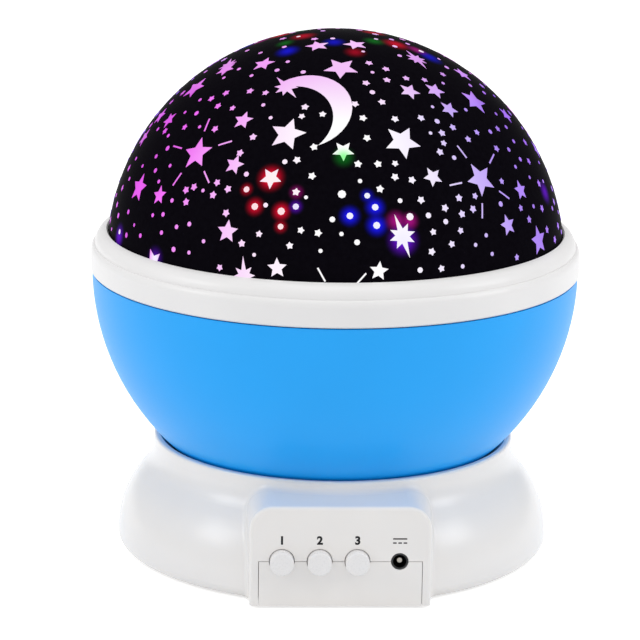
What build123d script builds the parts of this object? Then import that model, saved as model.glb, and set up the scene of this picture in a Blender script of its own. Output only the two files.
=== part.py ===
"""Star night light projector: a turning ball with a star dome on a battery-powered base.

Millimetres. +Z is up, the origin is on the floor under the ball's axis, and the control panel faces -Y.
The base holds four AAA cells, a geared motor, the control board and the lamp post. The ball turns round
the lamp post on a flanged bush, driven by a ring gear under its bowl. The lamps on the post stand still.
"""

from build123d import *
from math import acos, ceil, cos, hypot, pi, radians, sin, sqrt, tan
import os

# ---------------------------------------------------------------- driving sizes: cells and battery bay
CELL_DIAMETER = 10.5
CELL_LENGTH = 44.5
CELL_COUNT = 4
CELL_GAP = 0.3
NUB_RADIUS = 1.9
NUB_HEIGHT = 0.8
SPRING_SPACE = 5.2
LEAF_WIDTH = 5.0
LEAF_FOOT = 2.6
LEAF_TIP = 0.4
LEAF_RETURN = 2.0
CONTACT_THICK = 0.4
CONTACT_MARGIN = 1.0
CELL_TOUCH = 0.05
BAY_WALL = 1.5
BAY_MID_Y = 7.6

# ---------------------------------------------------------------- base housing
FOOT_HEIGHT = 0.8
FOOT_RADIUS = 4.0
PLATE_THICK = 2.0
BASE_WALL = 2.0
DECK_THICK = 2.0
WIRE_SPACE = 3.3
CUP_GAP = 0.6
NECK_WALL = 1.5
NECK_ROUND = 0.7
FLARE = 9.7
FOOT_INSET = 1.4
BELLY_Z = 3.2
BELLY_ROUND = 26.0
FLANK_LEAN = 38.0
WAIST_ROUND = 9.8
FIT_GAP = 0.2
BOSS_RADIUS = 3.4
BOSS_CIRCLE = 44.0
FOOT_CIRCLE = 46.0
FOOT_RECESS = 0.6
SCREW_RADIUS = 1.25
SCREW_HEAD_RADIUS = 2.6
SCREW_HEAD_HEIGHT = 1.8
SCREW_LENGTH = 12.0
SCREW_SINK = 2.0
SCREW_CUP_HEIGHT = 2.2
SCREW_CUP_RADIUS = 4.2
SMALL_SCREW_RADIUS = 1.0
SMALL_HEAD_RADIUS = 1.8
SMALL_HEAD_HEIGHT = 1.1
PILOT_GAP = 0.05
PRESS_GAP = 0.025
SEAM = 0.15
CUP_FLAT = 33.0

# ---------------------------------------------------------------- battery door
DOOR_GAP = 0.3
DOOR_THICK = 1.7
DOOR_SWING_ROUND = DOOR_THICK / 2
HINGE_PIN_RADIUS = 0.6
HINGE_PIN_REACH = 0.9
HINGE_GAP = 0.05
LEDGE_WIDTH = 1.0
LEDGE_HEIGHT = 1.1
LEDGE_LENGTH = 40.0
LATCH_WIDTH = 10.0
LATCH_LENGTH = 9.0
LATCH_SLOT = 0.7
SCOOP_RADIUS = 5.0
SCOOP_DEPTH = 1.0
GRIP_COUNT = 4
GRIP_PITCH = 1.6
GRIP_WIDTH = 0.7
GRIP_DEPTH = 0.8
GRIP_MARGIN = 1.0

# ---------------------------------------------------------------- control panel
PANEL_OVERHANG = 0.8
PANEL_WIDTH = 46.4
PANEL_CORNER = 6.0
PANEL_BLEND = 2.0
PANEL_ROUND = 1.0
PANEL_DRAFT = 3.0
PANEL_DROP = 3.3
HATCH_WIDTH = 42.0
BUTTON_RADIUS = 3.1
BUTTON_GAP = 0.2
BUTTON_PITCH = 9.65
BUTTON_FIRST_X = -15.0
BUTTON_NAMES = ("light_button", "colour_button", "turn_button")
BUTTON_REACH = 2.8
BUTTON_TRAVEL = 1.8
BUTTON_FLANGE = 0.8
BUTTON_FLANGE_RADIUS = 4.0
BUTTON_STEM_RADIUS = 2.3
BUTTON_STEM_LENGTH = 3.4
BUTTON_EDGE = 0.5
BUTTON_AXIS_Z = 12.8
SWITCH_SIDE = 7.6
SWITCH_LENGTH = 9.0
SWITCH_SETBACK = 7.3
PLUNGER_SIDE = 2.0
PLUNGER_GRIP = 2.0
PLUNGER_ENTRY = 2.0
PLUNGER_GAP = 0.1
SOCKET_X = 15.1
SOCKET_BORE = 1.75
SOCKET_WALL = 0.35
SOCKET_DEPTH = 9.0
SOCKET_SIDE = 7.2
SOCKET_LENGTH = 11.5
PIN_RADIUS = 0.65
PIN_SETBACK = 1.0
PCB_HALF = 19.0
PCB_PRESS_CLEAR = 0.45
PCB_BAY_GAP = 4.7
PCB_SCREW_X = 14.0
PCB_SCREW_INSET = 6.0
PCB_SCREW_LENGTH = 5.0
CAPACITOR_RADIUS = 2.5
CAPACITOR_HEIGHT = 7.0
CAPACITOR_X = -4.0
CHIP_SIZE = (6.0, 5.0, 1.6)
CHIP_X = 5.0
CHIP_SETBACK = 2.0
PLUG_SIZE = (8.0, 3.5, 5.0)
PLUG_X = 4.0

# ---------------------------------------------------------------- drive
GEAR_MODULE = 1.0
PINION_TEETH = 14
PRESSURE_ANGLE = 20.0
ADDENDUM = 0.8
DEDENDUM = 1.1
BACKLASH = 0.2
GEAR_LIFT = 1.0
WEB_THICK = 1.7
GEAR_RIM = 2.5
GEAR_SCREW_CIRCLE = 14.2
GEAR_SCREW_LENGTH = 6.5
PINION_DROP = 0.6
PINION_FACE = 3.8
SHAFT_RADIUS = 1.5
SHAFT_FLAT = 0.5
SHAFT_GAP = 0.06
SHAFT_DEPTH = 8.0
GEARBOX_WIDTH = 20.0
GEARBOX_DEPTH = 18.0
GEARBOX_HEIGHT = 14.5
GEARBOX_SIDE = 3.1
GEARBOX_CORNER = 1.5
NOSE_RADIUS = 3.3
NOSE_HEIGHT = 1.5
EAR_OFFSET = 3.0
EAR_Y = 10.5
EAR_HEIGHT = 4.0
EAR_RADIUS = 3.0
EAR_SCREW_LENGTH = 5.5
MOTOR_DIAMETER = 12.0
MOTOR_FLAT = 10.0
MOTOR_LENGTH = 15.0
MOTOR_OFFSET = 9.0
MOTOR_BOSS_RADIUS = 2.4
MOTOR_BOSS_HEIGHT = 1.0

# ---------------------------------------------------------------- lamp post and bush
POST_RADIUS = 7.0
POST_BORE = 5.0
POST_FLANGE_RADIUS = 13.5
POST_FLANGE_THICK = 2.0
POST_SCREW_CIRCLE = 10.2
POST_SCREW_BITE = 1.6
POST_TOP_RADIUS = 5.6
POST_TOP_BORE = 3.4
POST_TAPER = 6.0
SPIGOT_RADIUS = 4.6
SPIGOT_PROUD = 0.8
RUNNING_GAP = 0.07
BUSH_WALL = 1.9
BUSH_FLANGE_RADIUS = 12.0
BUSH_FLANGE_THICK = 1.2
BUSH_SEAT_GAP = 0.05
WASHER_THICK = 0.6
HUB_HEIGHT = 10.0
HUB_WALL = 2.6
CLIP_THICK = 0.8
CLIP_RADIUS = 10.4
CLIP_SEAT_RADIUS = 6.3
CLIP_PLAY = 0.05
END_PLAY = 0.3
CLIP_MOUTH = 10.0
BOARD_THICK = 1.6
LED_BOARD_RADIUS = 17.0
LED_RADIUS = 2.5
LED_HEIGHT = 8.6
LED_CIRCLE = 11.0
LED_FLANGE_RADIUS = 2.9
LED_FLANGE_HEIGHT = 1.0
LED_NOSE = 0.6
LED_ANGLES = {"white_leds": (30, 150, 270), "red_led": (210,), "green_led": (90,), "blue_led": (330,)}

# ---------------------------------------------------------------- ball
BALL_RADIUS = 64.7
BALL_WALL = 2.2
FLAT_RADIUS = 40.9
CUP_DEPTH = 4.5
INNER_STEPS = 6
RING_PROUD = 0.35
RING_BELOW_CENTRE = 0.4
RING_BAND = 7.0
RING_SHOULDER = 3.8
RING_BROW = 1.7
RING_STEP = 0.7
RING_GROOVE = 0.4
RING_WALL = 1.9
RING_BEVEL = 0.4
RING_LIP = 0.4
FLANGE_LIFT = 0.9
FLANGE_LAND = 4.2
HEAD_CLEAR = 0.7
RING_BOSS_DEPTH = 15.0
SPIGOT_WALL = 1.6
SHADOW_GAP = 0.3
RIB_THICK = 1.5
RIB_HEIGHT = 3.0
DOME_RADIUS = 60.9
DOME_WALL = 1.5
DOME_LIFT = 2.3
DOME_GAP = 0.15
FLANGE_THICK = 1.5

# ---------------------------------------------------------------- heights, stacked from the floor up
PLATE_BOTTOM = FOOT_HEIGHT
PLATE_TOP = PLATE_BOTTOM + PLATE_THICK
DOOR_BOTTOM = PLATE_BOTTOM + 0.1
DOOR_TOP = DOOR_BOTTOM + DOOR_THICK
CELL_Z = DOOR_TOP + CELL_GAP + CELL_DIAMETER / 2
BAY_CEILING = CELL_Z + CELL_DIAMETER / 2 + CELL_GAP
BAY_TOP = BAY_CEILING + BAY_WALL
DECK_BOTTOM = BAY_TOP + WIRE_SPACE
DECK_TOP = DECK_BOTTOM + DECK_THICK
POST_FLANGE_TOP = DECK_TOP + POST_FLANGE_THICK
WASHER_TOP = POST_FLANGE_TOP + WASHER_THICK
WEB_BOTTOM = WASHER_TOP + BUSH_FLANGE_THICK
BOWL_FLOOR = WEB_BOTTOM + WEB_THICK
RIM_Z = BOWL_FLOOR + CUP_DEPTH
HUB_TOP = BOWL_FLOOR + HUB_HEIGHT
BALL_Z = BOWL_FLOOR + sqrt(BALL_RADIUS**2 - FLAT_RADIUS**2)
RING_BOTTOM = BALL_Z - RING_BELOW_CENTRE
BAND_TOP = RING_BOTTOM + RING_BAND
RING_TOP = BAND_TOP + RING_SHOULDER
DOME_Z = BALL_Z + DOME_LIFT
RING_FLANGE_Z = RING_BOTTOM + FLANGE_LIFT
DOME_SEAT = RING_FLANGE_Z + FLANGE_THICK
CLIP_BOTTOM = HUB_TOP + END_PLAY
CLIP_TOP = CLIP_BOTTOM + CLIP_THICK
LED_BOARD_BOTTOM = DOME_Z - LED_HEIGHT - BOARD_THICK
LED_BOARD_TOP = LED_BOARD_BOTTOM + BOARD_THICK
SCREW_SEAT = PLATE_BOTTOM + SCREW_SINK
SCREW_CUP_TOP = PLATE_TOP + SCREW_CUP_HEIGHT
PCB_TOP = BUTTON_AXIS_Z - SWITCH_SIDE / 2
PCB_BOTTOM = PCB_TOP - BOARD_THICK


def sphere_reach(radius, z):
    """Radius at which a sphere round the ball's centre crosses height z."""
    return sqrt(radius**2 - (BALL_Z - z) ** 2)


# ---------------------------------------------------------------- radii and places that follow
CUP_RADIUS = BALL_RADIUS + CUP_GAP
NECK_RADIUS = sphere_reach(CUP_RADIUS, RIM_Z) + NECK_WALL
BELLY_RADIUS = NECK_RADIUS + FLARE
PLATE_RADIUS = BELLY_RADIUS - FOOT_INSET - BASE_WALL - FIT_GAP
LEAN = radians(FLANK_LEAN)
FOOT_ROUND = (FOOT_INSET**2 + (BELLY_Z - PLATE_BOTTOM) ** 2) / (2 * FOOT_INSET)
FOOT_EDGE = (BELLY_RADIUS - FOOT_INSET, PLATE_BOTTOM)
BELLY_EDGE = (BELLY_RADIUS, BELLY_Z)
FLANK_FOOT = (BELLY_RADIUS - BELLY_ROUND * (1 - cos(LEAN)), BELLY_Z + BELLY_ROUND * sin(LEAN))
FLANK_HEAD_RADIUS = NECK_RADIUS + WAIST_ROUND * (1 - cos(LEAN))
FLANK_HEAD = (FLANK_HEAD_RADIUS, FLANK_FOOT[1] + (FLANK_FOOT[0] - FLANK_HEAD_RADIUS) / tan(LEAN))
NECK_FOOT = (NECK_RADIUS, FLANK_HEAD[1] + WAIST_ROUND * sin(LEAN))
NECK_HEAD = (NECK_RADIUS, RIM_Z - NECK_ROUND)
BOSS_TOP = BALL_Z - sqrt(CUP_RADIUS**2 - (BOSS_CIRCLE - BOSS_RADIUS) ** 2) - SEAM
PANEL_Y = -(BELLY_RADIUS + PANEL_OVERHANG)
PANEL_BACK_Y = PANEL_Y + BASE_WALL
PANEL_TOP_Z = RIM_Z - PANEL_DROP
TAB_WIDTH = HATCH_WIDTH - 2 * SEAM
BUTTON_XS = [BUTTON_FIRST_X + i * BUTTON_PITCH for i in range(len(BUTTON_NAMES))]
BUTTON_HOLE = BUTTON_RADIUS + BUTTON_GAP
SWITCH_FRONT_Y = PANEL_BACK_Y + SWITCH_SETBACK
SOCKET_NOSE = SOCKET_BORE + SOCKET_WALL
SOCKET_HOLE = SOCKET_NOSE + SEAM
SOCKET_FRONT_Y = PANEL_BACK_Y + SEAM
SOCKET_MOUTH_Y = PANEL_Y + SEAM
FLANGE_FRONT_Y = PANEL_BACK_Y + SEAM
FLANGE_BACK_Y = FLANGE_FRONT_Y + BUTTON_FLANGE
STEM_END_Y = FLANGE_BACK_Y + BUTTON_STEM_LENGTH
CAP_FRONT_Y = PANEL_Y - BUTTON_REACH
PCB_FRONT_Y = FLANGE_BACK_Y + BUTTON_TRAVEL + PCB_PRESS_CLEAR
CELL_PITCH = CELL_DIAMETER + CELL_GAP
CELL_XS = [(i - (CELL_COUNT - 1) / 2) * CELL_PITCH for i in range(CELL_COUNT)]
BAY_HALF = CELL_COUNT * CELL_PITCH / 2 + CELL_GAP
BAY_LENGTH = CELL_LENGTH + SPRING_SPACE + 2 * CONTACT_THICK + CELL_GAP
BAY_BACK_Y = BAY_MID_Y + BAY_LENGTH / 2
BAY_FRONT_Y = BAY_MID_Y - BAY_LENGTH / 2
PLATE_FACE = BAY_LENGTH / 2 - CONTACT_THICK
PCB_BACK_Y = BAY_FRONT_Y - BAY_WALL - PCB_BAY_GAP
PCB_SCREW_Y = PCB_BACK_Y - PCB_SCREW_INSET
HINGE_Y = BAY_BACK_Y - DOOR_SWING_ROUND - SEAM
HINGE_Z = (DOOR_BOTTOM + DOOR_TOP) / 2
DOOR_FRONT_Y = BAY_FRONT_Y + DOOR_GAP
GEAR_TEETH = ceil(2 * (BAY_HALF + BAY_WALL + DOOR_GAP + GEARBOX_SIDE) / GEAR_MODULE) - PINION_TEETH
PINION_X = GEAR_MODULE * (GEAR_TEETH + PINION_TEETH) / 2
PINION_TOP = BOWL_FLOOR - PINION_DROP
PINION_ROOM_Z = PINION_TOP - PINION_FACE - DOOR_GAP
PINION_ROOM_RADIUS = GEAR_MODULE * (PINION_TEETH + 2) / 2 + DOOR_GAP
GEAR_BOTTOM = DECK_TOP + GEAR_LIFT
GEARBOX_X = PINION_X - GEARBOX_SIDE
MOTOR_X = PINION_X + MOTOR_OFFSET
MOTOR_Z = DECK_BOTTOM - EAR_HEIGHT - MOTOR_FLAT / 2 - DOOR_GAP
BUSH_RADIUS = POST_RADIUS + RUNNING_GAP + BUSH_WALL
HUB_RADIUS = BUSH_RADIUS + HUB_WALL
RING_RADIUS = BALL_RADIUS + RING_PROUD
SPIGOT_OUTER = RING_RADIUS - RING_WALL - SEAM
BOWL_EDGE = RING_BOTTOM - SHADOW_GAP
FLOOR_TOP = BOWL_FLOOR + BALL_WALL
WALL_TURN = BOWL_EDGE - 2 * SPIGOT_WALL
DOME_INNER = DOME_RADIUS - DOME_WALL
RING_SCREW_CIRCLE = DOME_INNER - SCREW_HEAD_RADIUS - HEAD_CLEAR
FLANGE_INNER = RING_SCREW_CIRCLE - FLANGE_LAND

os.makedirs("parts", exist_ok=True)


def save(builder, label):
    """Labels a finished piece and writes it to its own STEP file."""
    builder.part.label = label
    export_step(builder.part, f"parts/{label}.step")


def bell_side():
    """The base's outer side from foot to neck: rounded foot and belly, straight flank, hollow waist."""
    RadiusArc(FOOT_EDGE, BELLY_EDGE, -FOOT_ROUND)
    RadiusArc(BELLY_EDGE, FLANK_FOOT, -BELLY_ROUND)
    Line(FLANK_FOOT, FLANK_HEAD)
    RadiusArc(FLANK_HEAD, NECK_FOOT, WAIST_ROUND)
    Line(NECK_FOOT, NECK_HEAD)


def inset_side():
    """Points of the base's inner side, one wall inside the outer one."""
    half = (BELLY_RADIUS - BELLY_ROUND * (1 - cos(LEAN / 2)), BELLY_Z + BELLY_ROUND * sin(LEAN / 2))
    outer = (FOOT_EDGE, BELLY_EDGE, half, FLANK_FOOT, FLANK_HEAD, NECK_FOOT)
    return [(r - BASE_WALL, z) for r, z in outer]


def ball_points(radius, heights):
    """Points at the given heights on a circle round the ball's centre."""
    return [(sphere_reach(radius, z), z) for z in heights]


def on_bell(edge):
    """True for a curved edge that lies on the base's flared side."""
    ends = (edge @ 0, edge @ 1)
    curved = edge.geom_type not in (GeomType.LINE, GeomType.CIRCLE)
    return curved and max(hypot(end.X, end.Y) for end in ends) < BELLY_RADIUS + SEAM


def ball_line(radius, top, bottom):
    """Arc of a circle round the ball's centre, from height top down to bottom."""
    middle = (top + bottom) / 2
    return ThreePointArc(
        (sphere_reach(radius, top), top),
        (sphere_reach(radius, middle), middle),
        (sphere_reach(radius, bottom), bottom),
    )


def drill_panel():
    """Cuts the three button holes and the socket hole through the panel's front wall."""
    holes = [(x, BUTTON_HOLE) for x in BUTTON_XS] + [(SOCKET_X, SOCKET_HOLE)]
    for x, radius in holes:
        with Locations(Location((x, PANEL_Y + BASE_WALL / 2, BUTTON_AXIS_Z), (90, 0, 0))):
            Cylinder(radius, 2 * BASE_WALL, mode=Mode.SUBTRACT)


def add_screw(seat, radius, head_radius, head_height, length, way):
    """Pan-head screw: its head rests on the seat height and its shank points up (way 1) or down (-1)."""
    with Locations((0, 0, seat - way * head_height / 2)):
        Cylinder(head_radius, head_height)
    with Locations((0, 0, seat + way * length / 2)):
        Cylinder(radius, length)


def polar(radius, angle):
    """Point at a radius and an angle in radians."""
    return (radius * cos(angle), radius * sin(angle))


def gear_teeth(teeth, first_angle):
    """Outline of an external involute gear: each flank is one arc through three points of the involute."""
    pitch_r = GEAR_MODULE * teeth / 2
    base_r = pitch_r * cos(radians(PRESSURE_ANGLE))
    tip_r = pitch_r + ADDENDUM
    root_r = pitch_r - DEDENDUM
    start_r = max(base_r, root_r)
    middle_r = (start_r + tip_r) / 2
    pitch_half = (pi * GEAR_MODULE - BACKLASH) / 4 / pitch_r

    def half_angle(radius):
        roll = acos(min(1.0, base_r / radius))
        involute = tan(roll) - roll
        pitch_involute = tan(radians(PRESSURE_ANGLE)) - radians(PRESSURE_ANGLE)
        return pitch_half + pitch_involute - involute

    for k in range(teeth):
        centre = radians(first_angle) + 2 * pi * k / teeth
        right, left = centre - half_angle(start_r), centre + half_angle(start_r)
        if root_r < base_r:
            Line(polar(root_r, right), polar(start_r, right))
            Line(polar(start_r, left), polar(root_r, left))
        ThreePointArc(
            polar(start_r, right),
            polar(middle_r, centre - half_angle(middle_r)),
            polar(tip_r, centre - half_angle(tip_r)),
        )
        Line(polar(tip_r, centre - half_angle(tip_r)), polar(tip_r, centre + half_angle(tip_r)))
        ThreePointArc(
            polar(tip_r, centre + half_angle(tip_r)),
            polar(middle_r, centre + half_angle(middle_r)),
            polar(start_r, left),
        )
        Line(polar(root_r, left), polar(root_r, right + 2 * pi / teeth))


# ================================================================ base housing
with BuildPart() as base_hollow:
    with BuildSketch(Plane.XZ):
        with BuildLine():
            Polyline((0, PLATE_BOTTOM), *inset_side(), (0, NECK_FOOT[1]), close=True)
        make_face()
    revolve(axis=Axis.Z)
    with BuildSketch(Plane.XZ.offset(-PANEL_BACK_Y)) as panel_hollow:
        with Locations((0, (PANEL_TOP_Z - BASE_WALL + PLATE_BOTTOM) / 2)):
            Rectangle(HATCH_WIDTH, PANEL_TOP_Z - BASE_WALL - PLATE_BOTTOM)
        fillet(panel_hollow.vertices().group_by(Axis.Y)[-1], PANEL_CORNER - BASE_WALL)
    extrude(amount=PANEL_BACK_Y + CUP_FLAT)
    # the deck and the cup's wall stay solid
    with BuildSketch(Plane.XZ):
        with BuildLine():
            under = ball_points(CUP_RADIUS + BASE_WALL, (RIM_Z, BOWL_FLOOR - BASE_WALL, DECK_BOTTOM))
            Polyline(*under, (0, DECK_BOTTOM), (0, RIM_Z), close=True)
        make_face()
    revolve(axis=Axis.Z, mode=Mode.SUBTRACT)

with BuildPart() as base_shell:
    with BuildSketch(Plane.XZ):
        with BuildLine():
            bell_side()
            lip = RadiusArc(NECK_HEAD, (NECK_RADIUS - NECK_ROUND, RIM_Z), -NECK_ROUND)
            Polyline(lip @ 1, (0, RIM_Z), (0, PLATE_BOTTOM), FOOT_EDGE)
        make_face()
    revolve(axis=Axis.Z)
    with BuildSketch(Plane.XZ.offset(-PANEL_Y)) as panel_outline:
        with Locations((0, (PANEL_TOP_Z + PLATE_BOTTOM) / 2)):
            Rectangle(PANEL_WIDTH, PANEL_TOP_Z - PLATE_BOTTOM)
        fillet(panel_outline.vertices().group_by(Axis.Y)[-1], PANEL_CORNER)
    extrude(amount=PANEL_Y + CUP_FLAT, taper=-PANEL_DRAFT)
    split(bisect_by=Plane.XY.offset(PLATE_BOTTOM), keep=Keep.TOP)
    # soft blend where the panel grows out of the bell, and a rounded rim round its face
    fillet(base_shell.edges().filter_by(on_bell), PANEL_BLEND)
    face_rim = base_shell.faces().sort_by(Axis.Y)[0].edges()
    fillet(face_rim.filter_by(lambda e: e.center().Z > PLATE_BOTTOM + PANEL_ROUND), PANEL_ROUND)
    add(base_hollow.part, mode=Mode.SUBTRACT)
    # cup that the ball turns in
    with BuildSketch(Plane.XZ):
        with BuildLine():
            cup = ball_points(CUP_RADIUS, (RIM_Z, BOWL_FLOOR, DECK_TOP))
            Polyline(*cup, (0, DECK_TOP), (0, RIM_Z), close=True)
        make_face()
    revolve(axis=Axis.Z, mode=Mode.SUBTRACT)
    # front opening that the plate's tab closes
    with Locations((0, PANEL_Y + BASE_WALL / 2, (BUTTON_AXIS_Z + PLATE_BOTTOM) / 2)):
        Box(HATCH_WIDTH, 2 * BASE_WALL, BUTTON_AXIS_Z - PLATE_BOTTOM, mode=Mode.SUBTRACT)
    drill_panel()
    # deck holes for the wires, the drive shaft and the screws
    with Locations((0, 0, DECK_BOTTOM + DECK_THICK / 2)):
        Cylinder(POST_BORE, 2 * DECK_THICK, mode=Mode.SUBTRACT)
        with PolarLocations(POST_SCREW_CIRCLE, 3):
            Cylinder(SMALL_SCREW_RADIUS + FIT_GAP, 2 * DECK_THICK, mode=Mode.SUBTRACT)
    with Locations((PINION_X, 0, DECK_BOTTOM + DECK_THICK / 2)):
        Cylinder(NOSE_RADIUS + FIT_GAP, 2 * DECK_THICK, mode=Mode.SUBTRACT)
        with Locations((EAR_OFFSET, EAR_Y), (EAR_OFFSET, -EAR_Y)):
            Cylinder(SMALL_SCREW_RADIUS + FIT_GAP, 2 * DECK_THICK, mode=Mode.SUBTRACT)
    # room for the pinion and for the screw heads, should the cup's wall stand closer
    with Locations((PINION_X, 0, (PINION_ROOM_Z + BOWL_FLOOR) / 2)):
        Cylinder(PINION_ROOM_RADIUS, BOWL_FLOOR - PINION_ROOM_Z, mode=Mode.SUBTRACT)
    with Locations((PINION_X + EAR_OFFSET, 0, DECK_TOP + SMALL_HEAD_HEIGHT / 2)):
        with Locations((0, EAR_Y), (0, -EAR_Y)):
            Cylinder(SMALL_HEAD_RADIUS + FIT_GAP, SMALL_HEAD_HEIGHT, mode=Mode.SUBTRACT)
    # screw bosses that stand on the plate's cups
    with BuildSketch(Plane.XY.offset(SCREW_CUP_TOP)):
        with PolarLocations(BOSS_CIRCLE, 4, start_angle=45):
            Circle(BOSS_RADIUS)
    extrude(amount=BOSS_TOP - SCREW_CUP_TOP)
    with BuildSketch(Plane.XY.offset(SCREW_CUP_TOP)):
        with PolarLocations(BOSS_CIRCLE, 4, start_angle=45):
            Circle(SCREW_RADIUS + PILOT_GAP)
    extrude(amount=SCREW_LENGTH, mode=Mode.SUBTRACT)
save(base_shell, "base_shell")

with BuildPart() as base_plate:
    with BuildSketch(Plane.XY.offset(PLATE_BOTTOM)):
        Circle(PLATE_RADIUS)
        with Locations((0, (PANEL_Y - CUP_FLAT) / 2)):
            Rectangle(TAB_WIDTH, -PANEL_Y - CUP_FLAT)
    extrude(amount=PLATE_THICK)
    # tab that closes the lower half of the control panel
    with BuildSketch(Plane.XZ.offset(-PANEL_Y)):
        with Locations((0, (BUTTON_AXIS_Z - SEAM + PLATE_BOTTOM) / 2)):
            Rectangle(TAB_WIDTH, BUTTON_AXIS_Z - SEAM - PLATE_BOTTOM)
    extrude(amount=-BASE_WALL)
    drill_panel()
    # battery bay
    with BuildSketch(Plane.XY.offset(PLATE_BOTTOM)):
        with Locations((0, BAY_MID_Y)):
            Rectangle(2 * (BAY_HALF + BAY_WALL), BAY_LENGTH + 2 * BAY_WALL)
    extrude(amount=BAY_TOP - PLATE_BOTTOM)
    with BuildSketch(Plane.XY.offset(PLATE_BOTTOM)):
        with Locations((0, BAY_MID_Y)):
            Rectangle(2 * BAY_HALF, BAY_LENGTH)
    extrude(amount=BAY_CEILING - PLATE_BOTTOM, mode=Mode.SUBTRACT)
    # ledges that the shut door rests against
    with Locations((0, BAY_MID_Y, DOOR_TOP + SEAM + LEDGE_HEIGHT / 2)):
        with GridLocations(2 * BAY_HALF - LEDGE_WIDTH, 1, 2, 1):
            Box(LEDGE_WIDTH, LEDGE_LENGTH, LEDGE_HEIGHT)
    # bores for the door's hinge pins
    with Locations(Location((0, HINGE_Y, HINGE_Z), (0, 90, 0))):
        Cylinder(
            HINGE_PIN_RADIUS + HINGE_GAP,
            2 * (BAY_HALF + HINGE_PIN_REACH + HINGE_GAP),
            mode=Mode.SUBTRACT,
        )
    # finger scoop in front of the door
    scoop_z = PLATE_BOTTOM + SCOOP_DEPTH - SCOOP_RADIUS
    with Locations(Location((0, BAY_FRONT_Y - BAY_WALL, scoop_z), (0, 90, 0))):
        Cylinder(SCOOP_RADIUS, LATCH_WIDTH, mode=Mode.SUBTRACT)
    # cups for the housing's screws
    with BuildSketch(Plane.XY.offset(PLATE_TOP)):
        with PolarLocations(BOSS_CIRCLE, 4, start_angle=45):
            Circle(SCREW_CUP_RADIUS)
    extrude(amount=SCREW_CUP_HEIGHT)
    with Locations(Plane.XY.offset(PLATE_BOTTOM).rotated((180, 0, 0))):
        with PolarLocations(BOSS_CIRCLE, 4, start_angle=45):
            CounterBoreHole(SCREW_RADIUS + FIT_GAP, SCREW_HEAD_RADIUS + FIT_GAP, SCREW_SINK)
    # foot recesses
    with BuildSketch(Plane.XY.offset(PLATE_BOTTOM)):
        with PolarLocations(FOOT_CIRCLE, 4):
            Circle(FOOT_RADIUS + FIT_GAP)
    extrude(amount=FOOT_RECESS, mode=Mode.SUBTRACT)
    # posts for the control board
    with Locations((0, PCB_SCREW_Y, (PLATE_TOP + PCB_BOTTOM) / 2)):
        with GridLocations(2 * PCB_SCREW_X, 1, 2, 1):
            Cylinder(BOSS_RADIUS - FIT_GAP, PCB_BOTTOM - PLATE_TOP)
            Cylinder(SMALL_SCREW_RADIUS + PILOT_GAP, PCB_BOTTOM - PLATE_TOP, mode=Mode.SUBTRACT)
save(base_plate, "base_plate")

with BuildPart() as rubber_feet:
    with BuildSketch(Plane.XY):
        with PolarLocations(FOOT_CIRCLE, 4):
            Circle(FOOT_RADIUS)
    extrude(amount=FOOT_HEIGHT + FOOT_RECESS)
save(rubber_feet, "rubber_feet")

with BuildPart() as base_screws:
    with PolarLocations(BOSS_CIRCLE, 4, start_angle=45):
        add_screw(SCREW_SEAT, SCREW_RADIUS, SCREW_HEAD_RADIUS, SCREW_HEAD_HEIGHT, SCREW_LENGTH, 1)
save(base_screws, "base_screws")

# ================================================================ battery door and cells
with BuildPart() as battery_door:
    with BuildSketch(Plane.XY.offset(DOOR_BOTTOM)):
        with Locations((0, (DOOR_FRONT_Y + HINGE_Y) / 2)):
            Rectangle(2 * (BAY_HALF - DOOR_GAP), HINGE_Y - DOOR_FRONT_Y)
        with Locations((0, DOOR_FRONT_Y + LATCH_LENGTH / 2)):
            with GridLocations(LATCH_WIDTH + LATCH_SLOT, 1, 2, 1):
                Rectangle(LATCH_SLOT, LATCH_LENGTH, mode=Mode.SUBTRACT)
    extrude(amount=DOOR_THICK)
    # rounded hinge edge with its two pins
    with Locations(Location((0, HINGE_Y, HINGE_Z), (0, 90, 0))):
        Cylinder(DOOR_SWING_ROUND, 2 * (BAY_HALF - DOOR_GAP))
        Cylinder(HINGE_PIN_RADIUS, 2 * (BAY_HALF + HINGE_PIN_REACH))
    # thumb grips across the latch
    with Locations((0, DOOR_FRONT_Y + LATCH_LENGTH / 2, DOOR_BOTTOM)):
        with GridLocations(1, GRIP_PITCH, 1, GRIP_COUNT):
            Box(LATCH_WIDTH - 2 * GRIP_MARGIN, GRIP_WIDTH, GRIP_DEPTH, mode=Mode.SUBTRACT)
save(battery_door, "battery_door")

CELL_SLOTS = [
    Location((x, BAY_MID_Y, CELL_Z), (-90 if i % 2 else 90, 0, 0)) for i, x in enumerate(CELL_XS)
]

with BuildPart() as aaa_cells:
    for slot in CELL_SLOTS:
        with Locations(slot):
            with Locations((0, 0, PLATE_FACE - CELL_TOUCH - CELL_LENGTH / 2)):
                Cylinder(NUB_RADIUS, CELL_LENGTH)
                with Locations((0, 0, -NUB_HEIGHT / 2)):
                    Cylinder(CELL_DIAMETER / 2, CELL_LENGTH - NUB_HEIGHT)
save(aaa_cells, "aaa_cells")

with BuildPart() as contact_plates:
    with Locations((0, BAY_MID_Y, CELL_Z)):
        with GridLocations(CELL_PITCH, BAY_LENGTH - CONTACT_THICK, CELL_COUNT, 2):
            Box(CELL_PITCH - 2 * CONTACT_MARGIN, CONTACT_THICK, CELL_PITCH - 2 * CONTACT_MARGIN)
save(contact_plates, "contact_plates")

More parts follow.
